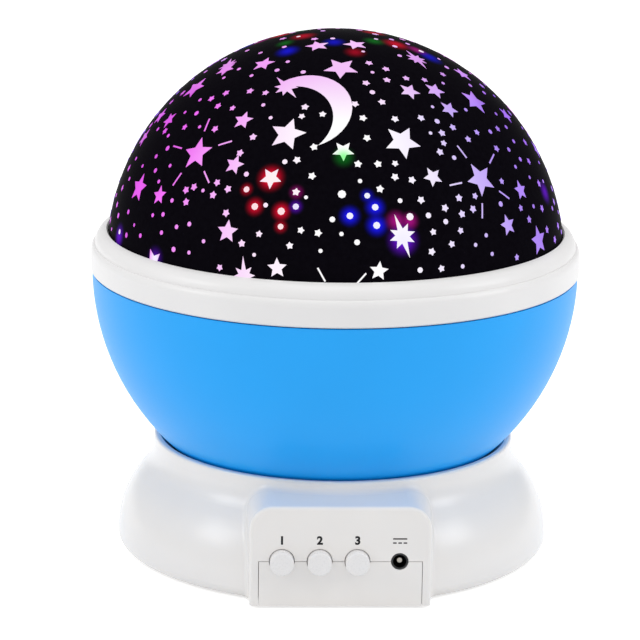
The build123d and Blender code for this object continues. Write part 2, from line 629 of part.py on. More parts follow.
with BuildPart() as contact_springs:
    for slot in CELL_SLOTS:
        leaf_plane = Plane(slot * Location((0, 0, -PLATE_FACE), (0, -90, 0)))
        with BuildSketch(leaf_plane.offset(-LEAF_WIDTH / 2)):
            with BuildLine():
                Polyline(
                    (CONTACT_THICK / 2, -LEAF_FOOT),
                    (CONTACT_THICK / 2, LEAF_FOOT),
                    (SPRING_SPACE - CONTACT_THICK / 2, LEAF_TIP),
                    (SPRING_SPACE - CONTACT_THICK / 2, -LEAF_TIP),
                    (SPRING_SPACE / 2, -LEAF_RETURN),
                )
            trace(line_width=CONTACT_THICK)
        extrude(amount=LEAF_WIDTH)
save(contact_springs, "contact_springs")

# ================================================================ lamp post
with BuildPart() as lamp_post:
    with BuildSketch(Plane.XZ):
        with BuildLine():
            Polyline(
                (POST_BORE, DECK_TOP),
                (POST_FLANGE_RADIUS, DECK_TOP),
                (POST_FLANGE_RADIUS, POST_FLANGE_TOP),
                (POST_RADIUS, POST_FLANGE_TOP),
                (POST_RADIUS, CLIP_BOTTOM - CLIP_PLAY),
                (CLIP_SEAT_RADIUS, CLIP_BOTTOM - CLIP_PLAY),
                (CLIP_SEAT_RADIUS, CLIP_TOP + CLIP_PLAY),
                (POST_RADIUS, CLIP_TOP + CLIP_PLAY),
                (POST_RADIUS, CLIP_TOP + CLIP_THICK),
                (POST_TOP_RADIUS, CLIP_TOP + POST_TAPER),
                (POST_TOP_RADIUS, LED_BOARD_BOTTOM),
                (SPIGOT_RADIUS, LED_BOARD_BOTTOM),
                (SPIGOT_RADIUS, LED_BOARD_TOP + SPIGOT_PROUD),
                (POST_TOP_BORE, LED_BOARD_TOP + SPIGOT_PROUD),
                (POST_TOP_BORE, CLIP_TOP + POST_TAPER),
                (POST_BORE, CLIP_TOP),
                close=True,
            )
        make_face()
    revolve(axis=Axis.Z)
    with BuildSketch(Plane.XY.offset(DECK_TOP)):
        with PolarLocations(POST_SCREW_CIRCLE, 3):
            Circle(SMALL_SCREW_RADIUS + PILOT_GAP)
    extrude(amount=POST_SCREW_BITE + PILOT_GAP, mode=Mode.SUBTRACT)
save(lamp_post, "lamp_post")

with BuildPart() as post_screws:
    with PolarLocations(POST_SCREW_CIRCLE, 3):
        add_screw(
            DECK_BOTTOM, SMALL_SCREW_RADIUS, SMALL_HEAD_RADIUS, SMALL_HEAD_HEIGHT,
            DECK_THICK + POST_SCREW_BITE, 1,
        )
save(post_screws, "post_screws")

with BuildPart() as thrust_washer:
    with BuildSketch(Plane.XY.offset(POST_FLANGE_TOP)):
        Circle(BUSH_FLANGE_RADIUS)
        Circle(POST_RADIUS + FIT_GAP, mode=Mode.SUBTRACT)
    extrude(amount=WASHER_THICK)
save(thrust_washer, "thrust_washer")

with BuildPart() as retaining_clip:
    with BuildSketch(Plane.XY.offset(CLIP_BOTTOM)):
        Circle(CLIP_RADIUS)
        Circle(CLIP_SEAT_RADIUS + CLIP_PLAY, mode=Mode.SUBTRACT)
        with Locations((0, CLIP_RADIUS / 2)):
            Rectangle(CLIP_MOUTH, CLIP_RADIUS + 1, mode=Mode.SUBTRACT)
    extrude(amount=CLIP_THICK)
save(retaining_clip, "retaining_clip")

with BuildPart() as led_board:
    with BuildSketch(Plane.XY.offset(LED_BOARD_BOTTOM)):
        Circle(LED_BOARD_RADIUS)
        Circle(SPIGOT_RADIUS + PILOT_GAP, mode=Mode.SUBTRACT)
    extrude(amount=BOARD_THICK)
save(led_board, "led_board")


def add_led():
    """Flat-nosed lamp standing on the board at the current place."""
    with Locations((0, 0, LED_BOARD_TOP + LED_FLANGE_HEIGHT / 2)):
        Cylinder(LED_FLANGE_RADIUS, LED_FLANGE_HEIGHT)
    with Locations((0, 0, LED_BOARD_TOP + (LED_HEIGHT - LED_NOSE) / 2)):
        Cylinder(LED_RADIUS, LED_HEIGHT - LED_NOSE)
    with Locations((0, 0, LED_BOARD_TOP + LED_HEIGHT - LED_NOSE / 2)):
        Cone(LED_RADIUS, LED_RADIUS - LED_NOSE, LED_NOSE)


for led_name, led_angles in LED_ANGLES.items():
    with BuildPart() as lamp:
        for led_angle in led_angles:
            with PolarLocations(LED_CIRCLE, 1, start_angle=led_angle):
                add_led()
    save(lamp, led_name)

# ================================================================ control board, switches and socket
with BuildPart() as control_board:
    with BuildSketch(Plane.XY.offset(PCB_BOTTOM)):
        with Locations((0, (PCB_FRONT_Y + PCB_BACK_Y) / 2)):
            Rectangle(2 * PCB_HALF, PCB_BACK_Y - PCB_FRONT_Y)
        with Locations((0, PCB_SCREW_Y)):
            with GridLocations(2 * PCB_SCREW_X, 1, 2, 1):
                Circle(SMALL_SCREW_RADIUS + FIT_GAP, mode=Mode.SUBTRACT)
    extrude(amount=BOARD_THICK)
save(control_board, "control_board")

with BuildPart() as board_screws:
    with Locations((0, PCB_SCREW_Y)):
        with GridLocations(2 * PCB_SCREW_X, 1, 2, 1):
            add_screw(
                PCB_TOP, SMALL_SCREW_RADIUS, SMALL_HEAD_RADIUS, SMALL_HEAD_HEIGHT, PCB_SCREW_LENGTH, -1
            )
save(board_screws, "board_screws")

with BuildPart() as board_parts:
    with Locations((CAPACITOR_X, PCB_SCREW_Y, PCB_TOP + CAPACITOR_HEIGHT / 2)):
        Cylinder(CAPACITOR_RADIUS, CAPACITOR_HEIGHT)
    with Locations((CHIP_X, PCB_SCREW_Y - CHIP_SETBACK, PCB_TOP + CHIP_SIZE[2] / 2)):
        Box(*CHIP_SIZE)
    with Locations((PLUG_X, PCB_BACK_Y - PLUG_SIZE[1] / 2, PCB_TOP + PLUG_SIZE[2] / 2)):
        Box(*PLUG_SIZE)
save(board_parts, "board_parts")

with BuildPart() as switch_bodies:
    for x in BUTTON_XS:
        with Locations((x, SWITCH_FRONT_Y + SWITCH_LENGTH / 2, BUTTON_AXIS_Z)):
            Box(SWITCH_SIDE, SWITCH_LENGTH, SWITCH_SIDE)
        with Locations((x, SWITCH_FRONT_Y, BUTTON_AXIS_Z)):
            Box(
                PLUNGER_SIDE + 2 * PLUNGER_GAP,
                2 * (PLUNGER_ENTRY + BUTTON_TRAVEL + FIT_GAP),
                PLUNGER_SIDE + 2 * PLUNGER_GAP,
                mode=Mode.SUBTRACT,
            )
save(switch_bodies, "switch_bodies")


# a cylinder with this alignment grows from its foot along its own +Z
FROM_FOOT = (Align.CENTER, Align.CENTER, Align.MIN)


def button_spot(x, y):
    """Place on a button's axis whose local +Z points into the base."""
    return Location((x, y, BUTTON_AXIS_Z), (-90, 0, 0))


for button_name, button_x in zip(BUTTON_NAMES, BUTTON_XS):
    with BuildPart() as cap:
        with Locations(button_spot(button_x, CAP_FRONT_Y)):
            Cylinder(BUTTON_RADIUS, FLANGE_FRONT_Y - CAP_FRONT_Y, align=FROM_FOOT)
        fillet(cap.faces().sort_by(Axis.Y)[0].edges(), BUTTON_EDGE)
        with Locations(button_spot(button_x, FLANGE_FRONT_Y)):
            Cylinder(BUTTON_FLANGE_RADIUS, BUTTON_FLANGE, align=FROM_FOOT)
            Cylinder(BUTTON_STEM_RADIUS, STEM_END_Y - FLANGE_FRONT_Y, align=FROM_FOOT)
        with Locations((button_x, STEM_END_Y, BUTTON_AXIS_Z)):
            Box(PLUNGER_SIDE, 2 * PLUNGER_GRIP, PLUNGER_SIDE, mode=Mode.SUBTRACT)
    save(cap, f"{button_name}_cap")
    with BuildPart() as plunger:
        plunger_front = STEM_END_Y - PLUNGER_GRIP
        plunger_back = SWITCH_FRONT_Y + PLUNGER_ENTRY
        with Locations((button_x, (plunger_front + plunger_back) / 2, BUTTON_AXIS_Z)):
            Box(PLUNGER_SIDE, plunger_back - plunger_front, PLUNGER_SIDE)
    save(plunger, f"{button_name}_plunger")

with BuildPart() as dc_jack:
    socket_top = BUTTON_AXIS_Z + SOCKET_SIDE / 2
    with Locations((SOCKET_X, SOCKET_FRONT_Y + SOCKET_LENGTH / 2, (PCB_TOP + socket_top) / 2)):
        Box(SOCKET_SIDE, SOCKET_LENGTH, socket_top - PCB_TOP)
    with Locations(button_spot(SOCKET_X, SOCKET_MOUTH_Y)):
        Cylinder(SOCKET_NOSE, SOCKET_FRONT_Y - SOCKET_MOUTH_Y, align=FROM_FOOT)
        Cylinder(SOCKET_BORE, SOCKET_DEPTH, align=FROM_FOOT, mode=Mode.SUBTRACT)
save(dc_jack, "dc_jack")

with BuildPart() as dc_jack_pin:
    with Locations(button_spot(SOCKET_X, SOCKET_MOUTH_Y + PIN_SETBACK)):
        Cylinder(PIN_RADIUS, SOCKET_DEPTH - PIN_SETBACK, align=FROM_FOOT)
save(dc_jack_pin, "dc_jack_pin")

# ================================================================ drive
with BuildPart() as gearbox_case:
    with BuildSketch(Plane.XY.offset(DECK_BOTTOM - GEARBOX_HEIGHT)) as case_outline:
        with Locations((GEARBOX_X + GEARBOX_WIDTH / 2, 0)):
            RectangleRounded(GEARBOX_WIDTH, GEARBOX_DEPTH, GEARBOX_CORNER)
    extrude(amount=GEARBOX_HEIGHT)
    with BuildSketch(Plane.XY.offset(DECK_BOTTOM)):
        with Locations((PINION_X + EAR_OFFSET, 0)):
            SlotOverall(2 * (EAR_Y + EAR_RADIUS), 2 * EAR_RADIUS, rotation=90)
    extrude(amount=-EAR_HEIGHT)
    with BuildSketch(Plane.XY.offset(DECK_BOTTOM)):
        with Locations((PINION_X, 0)):
            Circle(NOSE_RADIUS)
    extrude(amount=NOSE_HEIGHT)
    with BuildSketch(Plane.XY.offset(DECK_BOTTOM + NOSE_HEIGHT)):
        with Locations((PINION_X, 0)):
            Circle(SHAFT_RADIUS + SHAFT_GAP)
    extrude(amount=-(SHAFT_DEPTH + NOSE_HEIGHT + FIT_GAP), mode=Mode.SUBTRACT)
    with BuildSketch(Plane.XY.offset(DECK_BOTTOM)):
        with Locations((PINION_X + EAR_OFFSET, EAR_Y), (PINION_X + EAR_OFFSET, -EAR_Y)):
            Circle(SMALL_SCREW_RADIUS + PILOT_GAP)
    extrude(amount=-EAR_HEIGHT, mode=Mode.SUBTRACT)
save(gearbox_case, "gearbox_case")

with BuildPart() as gearbox_screws:
    with Locations((PINION_X + EAR_OFFSET, EAR_Y), (PINION_X + EAR_OFFSET, -EAR_Y)):
        add_screw(
            DECK_TOP, SMALL_SCREW_RADIUS, SMALL_HEAD_RADIUS, SMALL_HEAD_HEIGHT, EAR_SCREW_LENGTH, -1
        )
save(gearbox_screws, "gearbox_screws")

with BuildPart() as motor_can:
    with BuildSketch(Plane.XZ.offset(-GEARBOX_DEPTH / 2)):
        with Locations((MOTOR_X, MOTOR_Z)):
            Circle(MOTOR_DIAMETER / 2)
            Rectangle(MOTOR_DIAMETER, MOTOR_FLAT, mode=Mode.INTERSECT)
    extrude(amount=-MOTOR_LENGTH)
    with BuildSketch(Plane.XZ.offset(-GEARBOX_DEPTH / 2 - MOTOR_LENGTH)):
        with Locations((MOTOR_X, MOTOR_Z)):
            Circle(MOTOR_BOSS_RADIUS)
    extrude(amount=-MOTOR_BOSS_HEIGHT)
save(motor_can, "motor_can")

with BuildPart() as output_shaft:
    with BuildSketch(Plane.XY.offset(DECK_BOTTOM - SHAFT_DEPTH)):
        with Locations((PINION_X, 0)):
            Circle(SHAFT_RADIUS)
    extrude(amount=PINION_TOP - DECK_BOTTOM + SHAFT_DEPTH)
    with BuildSketch(Plane.XY.offset(PINION_TOP - PINION_FACE)):
        with Locations((PINION_X + SHAFT_RADIUS, 0)):
            Rectangle(2 * SHAFT_FLAT, 2 * SHAFT_RADIUS)
    extrude(amount=PINION_FACE, mode=Mode.SUBTRACT)
save(output_shaft, "output_shaft")

with BuildPart() as drive_pinion:
    with BuildSketch(Plane.XY.offset(PINION_TOP - PINION_FACE)) as pinion_outline:
        with Locations((PINION_X, 0)):
            with BuildLine(mode=Mode.PRIVATE) as pinion_line:
                gear_teeth(PINION_TEETH, 180 / PINION_TEETH)
            add(make_face(pinion_line.edges(), mode=Mode.PRIVATE))
            Circle(SHAFT_RADIUS + PRESS_GAP, mode=Mode.SUBTRACT)
    extrude(amount=PINION_FACE)
save(drive_pinion, "drive_pinion")

with BuildPart() as globe_gear:
    with BuildSketch(Plane.XY.offset(GEAR_BOTTOM)):
        with BuildLine():
            gear_teeth(GEAR_TEETH, 0)
        make_face()
        Circle(GEAR_MODULE * GEAR_TEETH / 2 - DEDENDUM - GEAR_RIM, mode=Mode.SUBTRACT)
    extrude(amount=BOWL_FLOOR - GEAR_BOTTOM)
    with BuildSketch(Plane.XY.offset(WEB_BOTTOM)):
        Circle(GEAR_MODULE * GEAR_TEETH / 2 - DEDENDUM - GEAR_RIM / 2)
        Circle(BUSH_RADIUS + PRESS_GAP, mode=Mode.SUBTRACT)
        with PolarLocations(GEAR_SCREW_CIRCLE, 4, start_angle=45):
            Circle(SMALL_SCREW_RADIUS + FIT_GAP, mode=Mode.SUBTRACT)
    extrude(amount=WEB_THICK)
save(globe_gear, "globe_gear")

with BuildPart() as gear_screws:
    with PolarLocations(GEAR_SCREW_CIRCLE, 4, start_angle=45):
        add_screw(
            WEB_BOTTOM, SMALL_SCREW_RADIUS, SMALL_HEAD_RADIUS, SMALL_HEAD_HEIGHT, GEAR_SCREW_LENGTH, 1
        )
save(gear_screws, "gear_screws")

with BuildPart() as hub_bush:
    with BuildSketch(Plane.XZ):
        with BuildLine():
            Polyline(
                (POST_RADIUS + RUNNING_GAP, WASHER_TOP + BUSH_SEAT_GAP),
                (BUSH_FLANGE_RADIUS, WASHER_TOP + BUSH_SEAT_GAP),
                (BUSH_FLANGE_RADIUS, WEB_BOTTOM),
                (BUSH_RADIUS, WEB_BOTTOM),
                (BUSH_RADIUS, HUB_TOP),
                (POST_RADIUS + RUNNING_GAP, HUB_TOP),
                close=True,
            )
        make_face()
    revolve(axis=Axis.Z)
save(hub_bush, "hub_bush")

# ================================================================ ball
with BuildPart() as bowl_shell:
    with BuildSketch(Plane.XZ):
        with BuildLine():
            outside = ball_line(BALL_RADIUS, BOWL_EDGE, BOWL_FLOOR)
            wall_step = (WALL_TURN - FLOOR_TOP) / INNER_STEPS
            wall_heights = [FLOOR_TOP + i * wall_step for i in range(INNER_STEPS + 1)]
            Polyline(
                outside @ 1,
                (0, BOWL_FLOOR),
                (0, FLOOR_TOP),
                *ball_points(BALL_RADIUS - BALL_WALL, wall_heights),
                (SPIGOT_OUTER - SPIGOT_WALL, BOWL_EDGE),
                (SPIGOT_OUTER - SPIGOT_WALL, RING_FLANGE_Z),
                (SPIGOT_OUTER, RING_FLANGE_Z),
                (SPIGOT_OUTER, BOWL_EDGE),
                outside @ 0,
            )
        make_face()
    revolve(axis=Axis.Z)
    # ribs from the hub to the wall
    with BuildSketch(Plane.XY.offset(FLOOR_TOP)):
        with PolarLocations(0, 6):
            with Locations((FLAT_RADIUS / 2, 0)):
                Rectangle(FLAT_RADIUS - 2 * RIB_THICK, RIB_THICK)
    extrude(amount=RIB_HEIGHT)
    # hub for the bush and bosses for the gear's screws
    with BuildSketch(Plane.XY.offset(BOWL_FLOOR)):
        Circle(HUB_RADIUS)
    extrude(amount=HUB_HEIGHT)
    with BuildSketch(Plane.XY.offset(BOWL_FLOOR)):
        with PolarLocations(GEAR_SCREW_CIRCLE, 4, start_angle=45):
            Circle(BOSS_RADIUS - FIT_GAP)
    extrude(amount=GEAR_SCREW_LENGTH)
    with BuildSketch(Plane.XY.offset(BOWL_FLOOR)):
        Circle(BUSH_RADIUS + PRESS_GAP)
    extrude(amount=HUB_HEIGHT, mode=Mode.SUBTRACT)
    with BuildSketch(Plane.XY.offset(BOWL_FLOOR)):
        with PolarLocations(GEAR_SCREW_CIRCLE, 4, start_angle=45):
            Circle(SMALL_SCREW_RADIUS + PILOT_GAP)
    extrude(amount=GEAR_SCREW_LENGTH - WEB_THICK + FIT_GAP, mode=Mode.SUBTRACT)
    # bosses for the ring's screws, tied to the wall
    boss_reach = SPIGOT_OUTER - SPIGOT_WALL / 2 - RING_SCREW_CIRCLE
    with BuildSketch(Plane.XY.offset(RING_FLANGE_Z)):
        with PolarLocations(RING_SCREW_CIRCLE, 4, start_angle=45):
            Circle(BOSS_RADIUS - FIT_GAP)
            with Locations((boss_reach / 2, 0)):
                Rectangle(boss_reach, RIB_THICK)
    extrude(amount=-RING_BOSS_DEPTH)
    with BuildSketch(Plane.XY.offset(RING_FLANGE_Z)):
        with PolarLocations(RING_SCREW_CIRCLE, 4, start_angle=45):
            Circle(SCREW_RADIUS + PILOT_GAP)
    extrude(amount=-SCREW_LENGTH, mode=Mode.SUBTRACT)
save(bowl_shell, "bowl_shell")

with BuildPart() as trim_ring:
    with BuildSketch(Plane.XZ):
        with BuildLine():
            sleeve_r = DOME_RADIUS + DOME_GAP
            lip_r = sqrt(DOME_RADIUS**2 - (RING_TOP - DOME_Z) ** 2) + DOME_GAP
            step_r = RING_RADIUS - RING_STEP
            groove_r = step_r - RING_GROOVE
            band = Polyline(
                (RING_RADIUS - RING_WALL, RING_BOTTOM),
                (RING_RADIUS - RING_BEVEL, RING_BOTTOM),
                (RING_RADIUS, RING_BOTTOM + RING_BEVEL),
                (RING_RADIUS, BAND_TOP - RING_BROW),
            )
            brow = TangentArc(band @ 1, (step_r, BAND_TOP), tangent=(0, 1))
            notch = Polyline(brow @ 1, (groove_r, BAND_TOP), (groove_r, BAND_TOP + RING_GROOVE))
            shoulder = ThreePointArc(
                notch @ 1,
                ((groove_r + lip_r) / 2 + 2 * RING_GROOVE, RING_TOP - RING_SHOULDER / 3),
                (lip_r + RING_LIP, RING_TOP),
            )
            Polyline(
                shoulder @ 1,
                (lip_r, RING_TOP - RING_LIP),
                (sleeve_r, (RING_TOP + DOME_Z) / 2),
                (sleeve_r, DOME_SEAT),
                (FLANGE_INNER, DOME_SEAT),
                (FLANGE_INNER, RING_FLANGE_Z),
                (RING_RADIUS - RING_WALL, RING_FLANGE_Z),
                band @ 0,
            )
        make_face()
    revolve(axis=Axis.Z)
    with BuildSketch(Plane.XY.offset(DOME_SEAT)):
        with PolarLocations(RING_SCREW_CIRCLE, 4, start_angle=45):
            Circle(SCREW_RADIUS + FIT_GAP)
    extrude(amount=-FLANGE_THICK, mode=Mode.SUBTRACT)
save(trim_ring, "trim_ring")

with BuildPart() as ring_screws:
    with PolarLocations(RING_SCREW_CIRCLE, 4, start_angle=45):
        add_screw(DOME_SEAT, SCREW_RADIUS, SCREW_HEAD_RADIUS, SCREW_HEAD_HEIGHT, SCREW_LENGTH, -1)
save(ring_screws, "ring_screws")

with BuildPart() as star_dome:
    with BuildSketch(Plane.XZ):
        with BuildLine():
            crown = CenterArc((0, DOME_Z), DOME_RADIUS, 0, 90)
            wall_angles = [radians(90 - 90 * i / INNER_STEPS) for i in range(INNER_STEPS + 1)]
            wall_points = [(DOME_INNER * cos(a), DOME_Z + DOME_INNER * sin(a)) for a in wall_angles]
            Polyline(crown @ 1, *wall_points, (DOME_INNER, DOME_SEAT), (DOME_RADIUS, DOME_SEAT), crown @ 0)
        make_face()
    revolve(axis=Axis.Z)
save(star_dome, "star_dome")
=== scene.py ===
"""Finish and studio of a star night light projector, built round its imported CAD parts.

The CAD parts keep their shape and get the finish of the real material each one is moulded, plated or
printed in. What the parts can't carry is made here: the clear windows in the dome's black print, the
marks above the buttons and the cross slots of the screws. All lengths are metres, +Z is up and the
control panel faces -Y.
"""

import logging
import math
from collections.abc import Callable, Iterable, Mapping, Sequence
from dataclasses import dataclass, field, fields
from enum import Enum
from functools import partial

import bmesh
import bpy
from bpy.types import Material, Mesh, Node, NodeSocket, NodeTree, Object
from mathutils import Matrix, Vector


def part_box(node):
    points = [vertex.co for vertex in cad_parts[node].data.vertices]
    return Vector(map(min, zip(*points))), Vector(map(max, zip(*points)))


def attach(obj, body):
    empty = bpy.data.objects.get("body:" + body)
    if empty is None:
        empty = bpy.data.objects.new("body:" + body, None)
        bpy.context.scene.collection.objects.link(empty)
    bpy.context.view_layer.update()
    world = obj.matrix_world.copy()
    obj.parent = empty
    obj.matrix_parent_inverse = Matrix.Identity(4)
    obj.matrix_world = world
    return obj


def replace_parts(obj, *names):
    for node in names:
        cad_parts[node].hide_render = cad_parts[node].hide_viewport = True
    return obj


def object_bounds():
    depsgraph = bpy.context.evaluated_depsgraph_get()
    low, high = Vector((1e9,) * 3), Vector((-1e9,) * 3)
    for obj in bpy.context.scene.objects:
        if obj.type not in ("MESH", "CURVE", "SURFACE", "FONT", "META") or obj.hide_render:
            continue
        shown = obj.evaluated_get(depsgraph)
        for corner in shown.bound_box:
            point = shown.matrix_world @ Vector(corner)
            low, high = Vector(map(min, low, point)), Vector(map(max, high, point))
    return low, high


logging.basicConfig(level=logging.INFO, format="%(name)s: %(message)s")
log = logging.getLogger("night_light")

Colour = tuple[float, float, float, float]
Point = tuple[float, float]
Adder = Callable[..., Node]

MM = 0.001
WHITE: Colour = (1.0, 1.0, 1.0, 1.0)
BLACK: Colour = (0.0, 0.0, 0.0, 1.0)
UP = Vector((0.0, 0.0, 1.0))

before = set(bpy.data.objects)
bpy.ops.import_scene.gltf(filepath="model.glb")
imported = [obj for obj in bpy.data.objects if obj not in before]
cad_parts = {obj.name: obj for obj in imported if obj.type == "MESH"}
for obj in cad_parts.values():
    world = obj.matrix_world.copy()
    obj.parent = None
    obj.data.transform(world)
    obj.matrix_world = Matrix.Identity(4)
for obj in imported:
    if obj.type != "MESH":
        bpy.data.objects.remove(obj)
CAD_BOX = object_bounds()


# ------------------------------------------------------------------ helpers
def linear(code: str) -> Colour:
    """Turns an sRGB hex colour into Blender's linear colour.

    Args:
        code: a # and six hex digits.

    Returns:
        Red, green, blue and an alpha of one.
    """
    channels = (int(code[i : i + 2], 16) / 255 for i in (1, 3, 5))
    red, green, blue = (c / 12.92 if c <= 0.04045 else ((c + 0.055) / 1.055) ** 2.4 for c in channels)
    return (red, green, blue, 1.0)


def add_node(tree: NodeTree, kind: str, sockets: Mapping | None = None, **settings) -> Node:
    """Adds one node with its settings, values and links.

    Args:
        tree: the tree that gets the node.
        kind: the node's type name without its family, such as Math for ShaderNodeMath.
        sockets: input names or numbers, each with a plain value, an output socket, a node whose first
            output in use is meant, or a list of such nodes.
        **settings: properties of the node itself.

    Returns:
        The new node.
    """
    families = (tree.bl_idname.removesuffix("Tree"), "FunctionNode", "ShaderNode", "Node")
    family = next(f for f in families if hasattr(bpy.types, f + kind))
    node = tree.nodes.new(family + kind)
    for name, value in settings.items():
        setattr(node, name, value)
    for key, value in (sockets or {}).items():
        for item in value if isinstance(value, list) else [value]:
            if isinstance(item, Node):
                item = next(output for output in item.outputs if output.enabled)
            if isinstance(item, NodeSocket):
                tree.links.new(item, node.inputs[key])
            else:
                node.inputs[key].default_value = item
    return node


def blank_material(name: str) -> tuple[Material, Adder]:
    """Makes an empty node material.

    Args:
        name: the material's name.

    Returns:
        The material, and what adds a node to it.
    """
    material = bpy.data.materials.new(name)
    material.use_nodes = True
    material.node_tree.nodes.clear()
    return material, partial(add_node, material.node_tree)


def new_mesh(name: str, points: Sequence, faces: Sequence = ()) -> Mesh:
    """Makes a mesh.

    Args:
        name: its name.
        points: its points.
        faces: each face's point numbers, anticlockwise seen from outside.

    Returns:
        The mesh.
    """
    mesh = bpy.data.meshes.new(name)
    mesh.from_pydata(points, [], faces)
    return mesh


def add_object(name: str, data: bpy.types.ID) -> Object:
    """Puts an object in the scene.

    Args:
        name: its name.
        data: its mesh, text, light or camera.

    Returns:
        The object.
    """
    added = bpy.data.objects.new(name, data)
    bpy.context.scene.collection.objects.link(added)
    return added


def new_piece(name: str, mesh: Mesh, body: str) -> Object:
    """Puts a finished mesh in the scene as a piece of the object.

    Args:
        name: the piece's name.
        mesh: its mesh, in place.
        body: the CAD body that it moves with.

    Returns:
        The new piece.
    """
    mesh.name = name
    piece = add_object(name, mesh)
    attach(piece, body)
    log.info("%s: %d faces on %s", name, len(mesh.polygons), body)
    return piece


def dress(nodes: Iterable[str], material: Material) -> None:
    """Gives CAD nodes a finish through their own material slots.

    Args:
        nodes: names of CAD nodes.
        material: the finish.
    """
    for name in nodes:
        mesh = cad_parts[name].data
        if not mesh.materials:
            mesh.materials.append(material)
        for index in range(len(mesh.materials)):
            mesh.materials[index] = material
        log.info("%s is finished in %s", name, material.name)


def node_group(name: str, start: str, values: Mapping, end: str) -> tuple[NodeTree, Adder, Mapping]:
    """Makes a Geometry Nodes group that has its inputs and its output, and nothing between.

    Args:
        name: the group's name.
        start: name of the geometry that goes in.
        values: the other inputs' names, each with a value that shows its kind.
        end: name of the geometry that comes out.

    Returns:
        The group, what adds a node to it, and the sockets that its inputs come in by.
    """
    tree = bpy.data.node_groups.new(name, "GeometryNodeTree")
    kinds = {float: "Float", int: "Int", Object: "Object", Material: "Material"}
    tree.interface.new_socket(start, in_out="INPUT", socket_type="NodeSocketGeometry")
    for key, value in values.items():
        kind = next(kinds[base] for base in kinds if isinstance(value, base))
        tree.interface.new_socket(key, in_out="INPUT", socket_type="NodeSocket" + kind)
    tree.interface.new_socket(end, in_out="OUTPUT", socket_type="NodeSocketGeometry")
    add = partial(add_node, tree)
    return tree, add, add("GroupInput").outputs


def run_nodes(tree: NodeTree, mesh: Mesh, values: Mapping) -> Mesh:
    """Runs a Geometry Nodes group on a mesh and keeps what it makes as a plain mesh.

    Args:
        tree: the node group.
        mesh: the mesh that goes in.
        values: the other inputs' names and values.

    Returns:
        The plain mesh that comes out.
    """
    holder = add_object(tree.name + "_holder", mesh)
    modifier = holder.modifiers.new(tree.name, "NODES")
    modifier.node_group = tree
    for item in tree.interface.items_tree:
        if item.in_out == "INPUT" and item.name in values:
            modifier[item.identifier] = values[item.name]
    graph = bpy.context.evaluated_depsgraph_get()
    made = bpy.data.meshes.new_from_object(holder.evaluated_get(graph), depsgraph=graph)
    holder.modifiers.remove(modifier)
    bpy.data.objects.remove(holder)
    # bare outlines leave an empty material slot before the group's own
    if len(made.materials) > 1 and made.materials[0] is None:
        made.materials.pop(index=0)
    return made


# ------------------------------------------------------------------ camera and dome shape
@dataclass
class FrontView:
    """Camera a little above the object and a touch to its left, as a product view is taken."""

    distance: float = 0.9
    aim_height: float = 0.075
    elevation: float = 13.74
    azimuth: float = -2.4
    pitch: float = 14.6
    yaw: float = -0.251
    roll: float = 0.72
    focal_px: float = 3369.5
    image_px: int = 640
    sensor_mm: float = 36.0
    nearest: float = 0.05
    farthest: float = 20.0
    place: Vector = field(init=False)
    ahead: Vector = field(init=False)
    right: Vector = field(init=False)
    up: Vector = field(init=False)

    def __post_init__(self) -> None:
        """Works out where the camera stands and how it is turned."""
        rise = math.radians(self.elevation)
        tilt, side, roll = (math.radians(a) for a in (self.pitch, self.yaw, self.roll))
        turn = Matrix.Rotation(math.radians(self.azimuth), 3, "Z")
        away, height = self.distance * math.cos(rise), self.distance * math.sin(rise)
        self.place = turn @ Vector((0.0, -away, self.aim_height + height))
        self.ahead = turn @ Vector(
            (math.sin(side) * math.cos(tilt), math.cos(side) * math.cos(tilt), -math.sin(tilt))
        )
        level = self.ahead.cross(UP).normalized()
        above = level.cross(self.ahead)
        self.right = level * math.cos(roll) + above * math.sin(roll)
        self.up = above * math.cos(roll) - level * math.sin(roll)

    def ray(self, column: float, row: float) -> Vector:
        """Returns the direction from the camera through a point of the image, in pixels."""
        across, down = column - self.image_px / 2, row - self.image_px / 2
        return (self.ahead * self.focal_px + self.right * across - self.up * down).normalized()

    def build(self) -> None:
        """Makes the camera and sets it as the scene's."""
        data = bpy.data.cameras.new("front_view")
        data.sensor_width = self.sensor_mm
        data.lens = self.focal_px * self.sensor_mm / self.image_px
        data.clip_start = self.nearest
        data.clip_end = self.farthest
        camera = add_object("front_view", data)
        axes = Matrix((self.right, self.up, -self.ahead)).transposed()
        camera.matrix_world = Matrix.Translation(self.place) @ axes.to_4x4()
        bpy.context.scene.camera = camera


@dataclass
class DomeShape:
    """Outer face of the dome, with the pixels of the front view laid on it."""

    view: FrontView
    radius: float = 60.9 * MM
    height: float = field(init=False)
    seat: float = field(init=False)

    def __post_init__(self) -> None:
        """Reads the height of the dome's centre and of the ring that covers its edge."""
        self.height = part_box("star_dome")[1].z - self.radius
        self.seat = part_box("trim_ring")[1].z

    def point(self, column: float, row: float) -> Vector:
        """Finds the point of the dome that a pixel of the front view lies on.

        Args:
            column: pixels from the left.
            row: pixels from the top.

        Returns:
            The point, or the dome's edge nearest to it where the view passes the dome.
        """
        ahead = self.view.ray(column, row)
        back = self.view.place - UP * self.height
        along = -back.dot(ahead)
        miss = back.length_squared - along**2
        depth = along - math.sqrt(max(0.0, self.radius**2 - miss))
        return (back + ahead * depth).normalized() * self.radius + UP * self.height


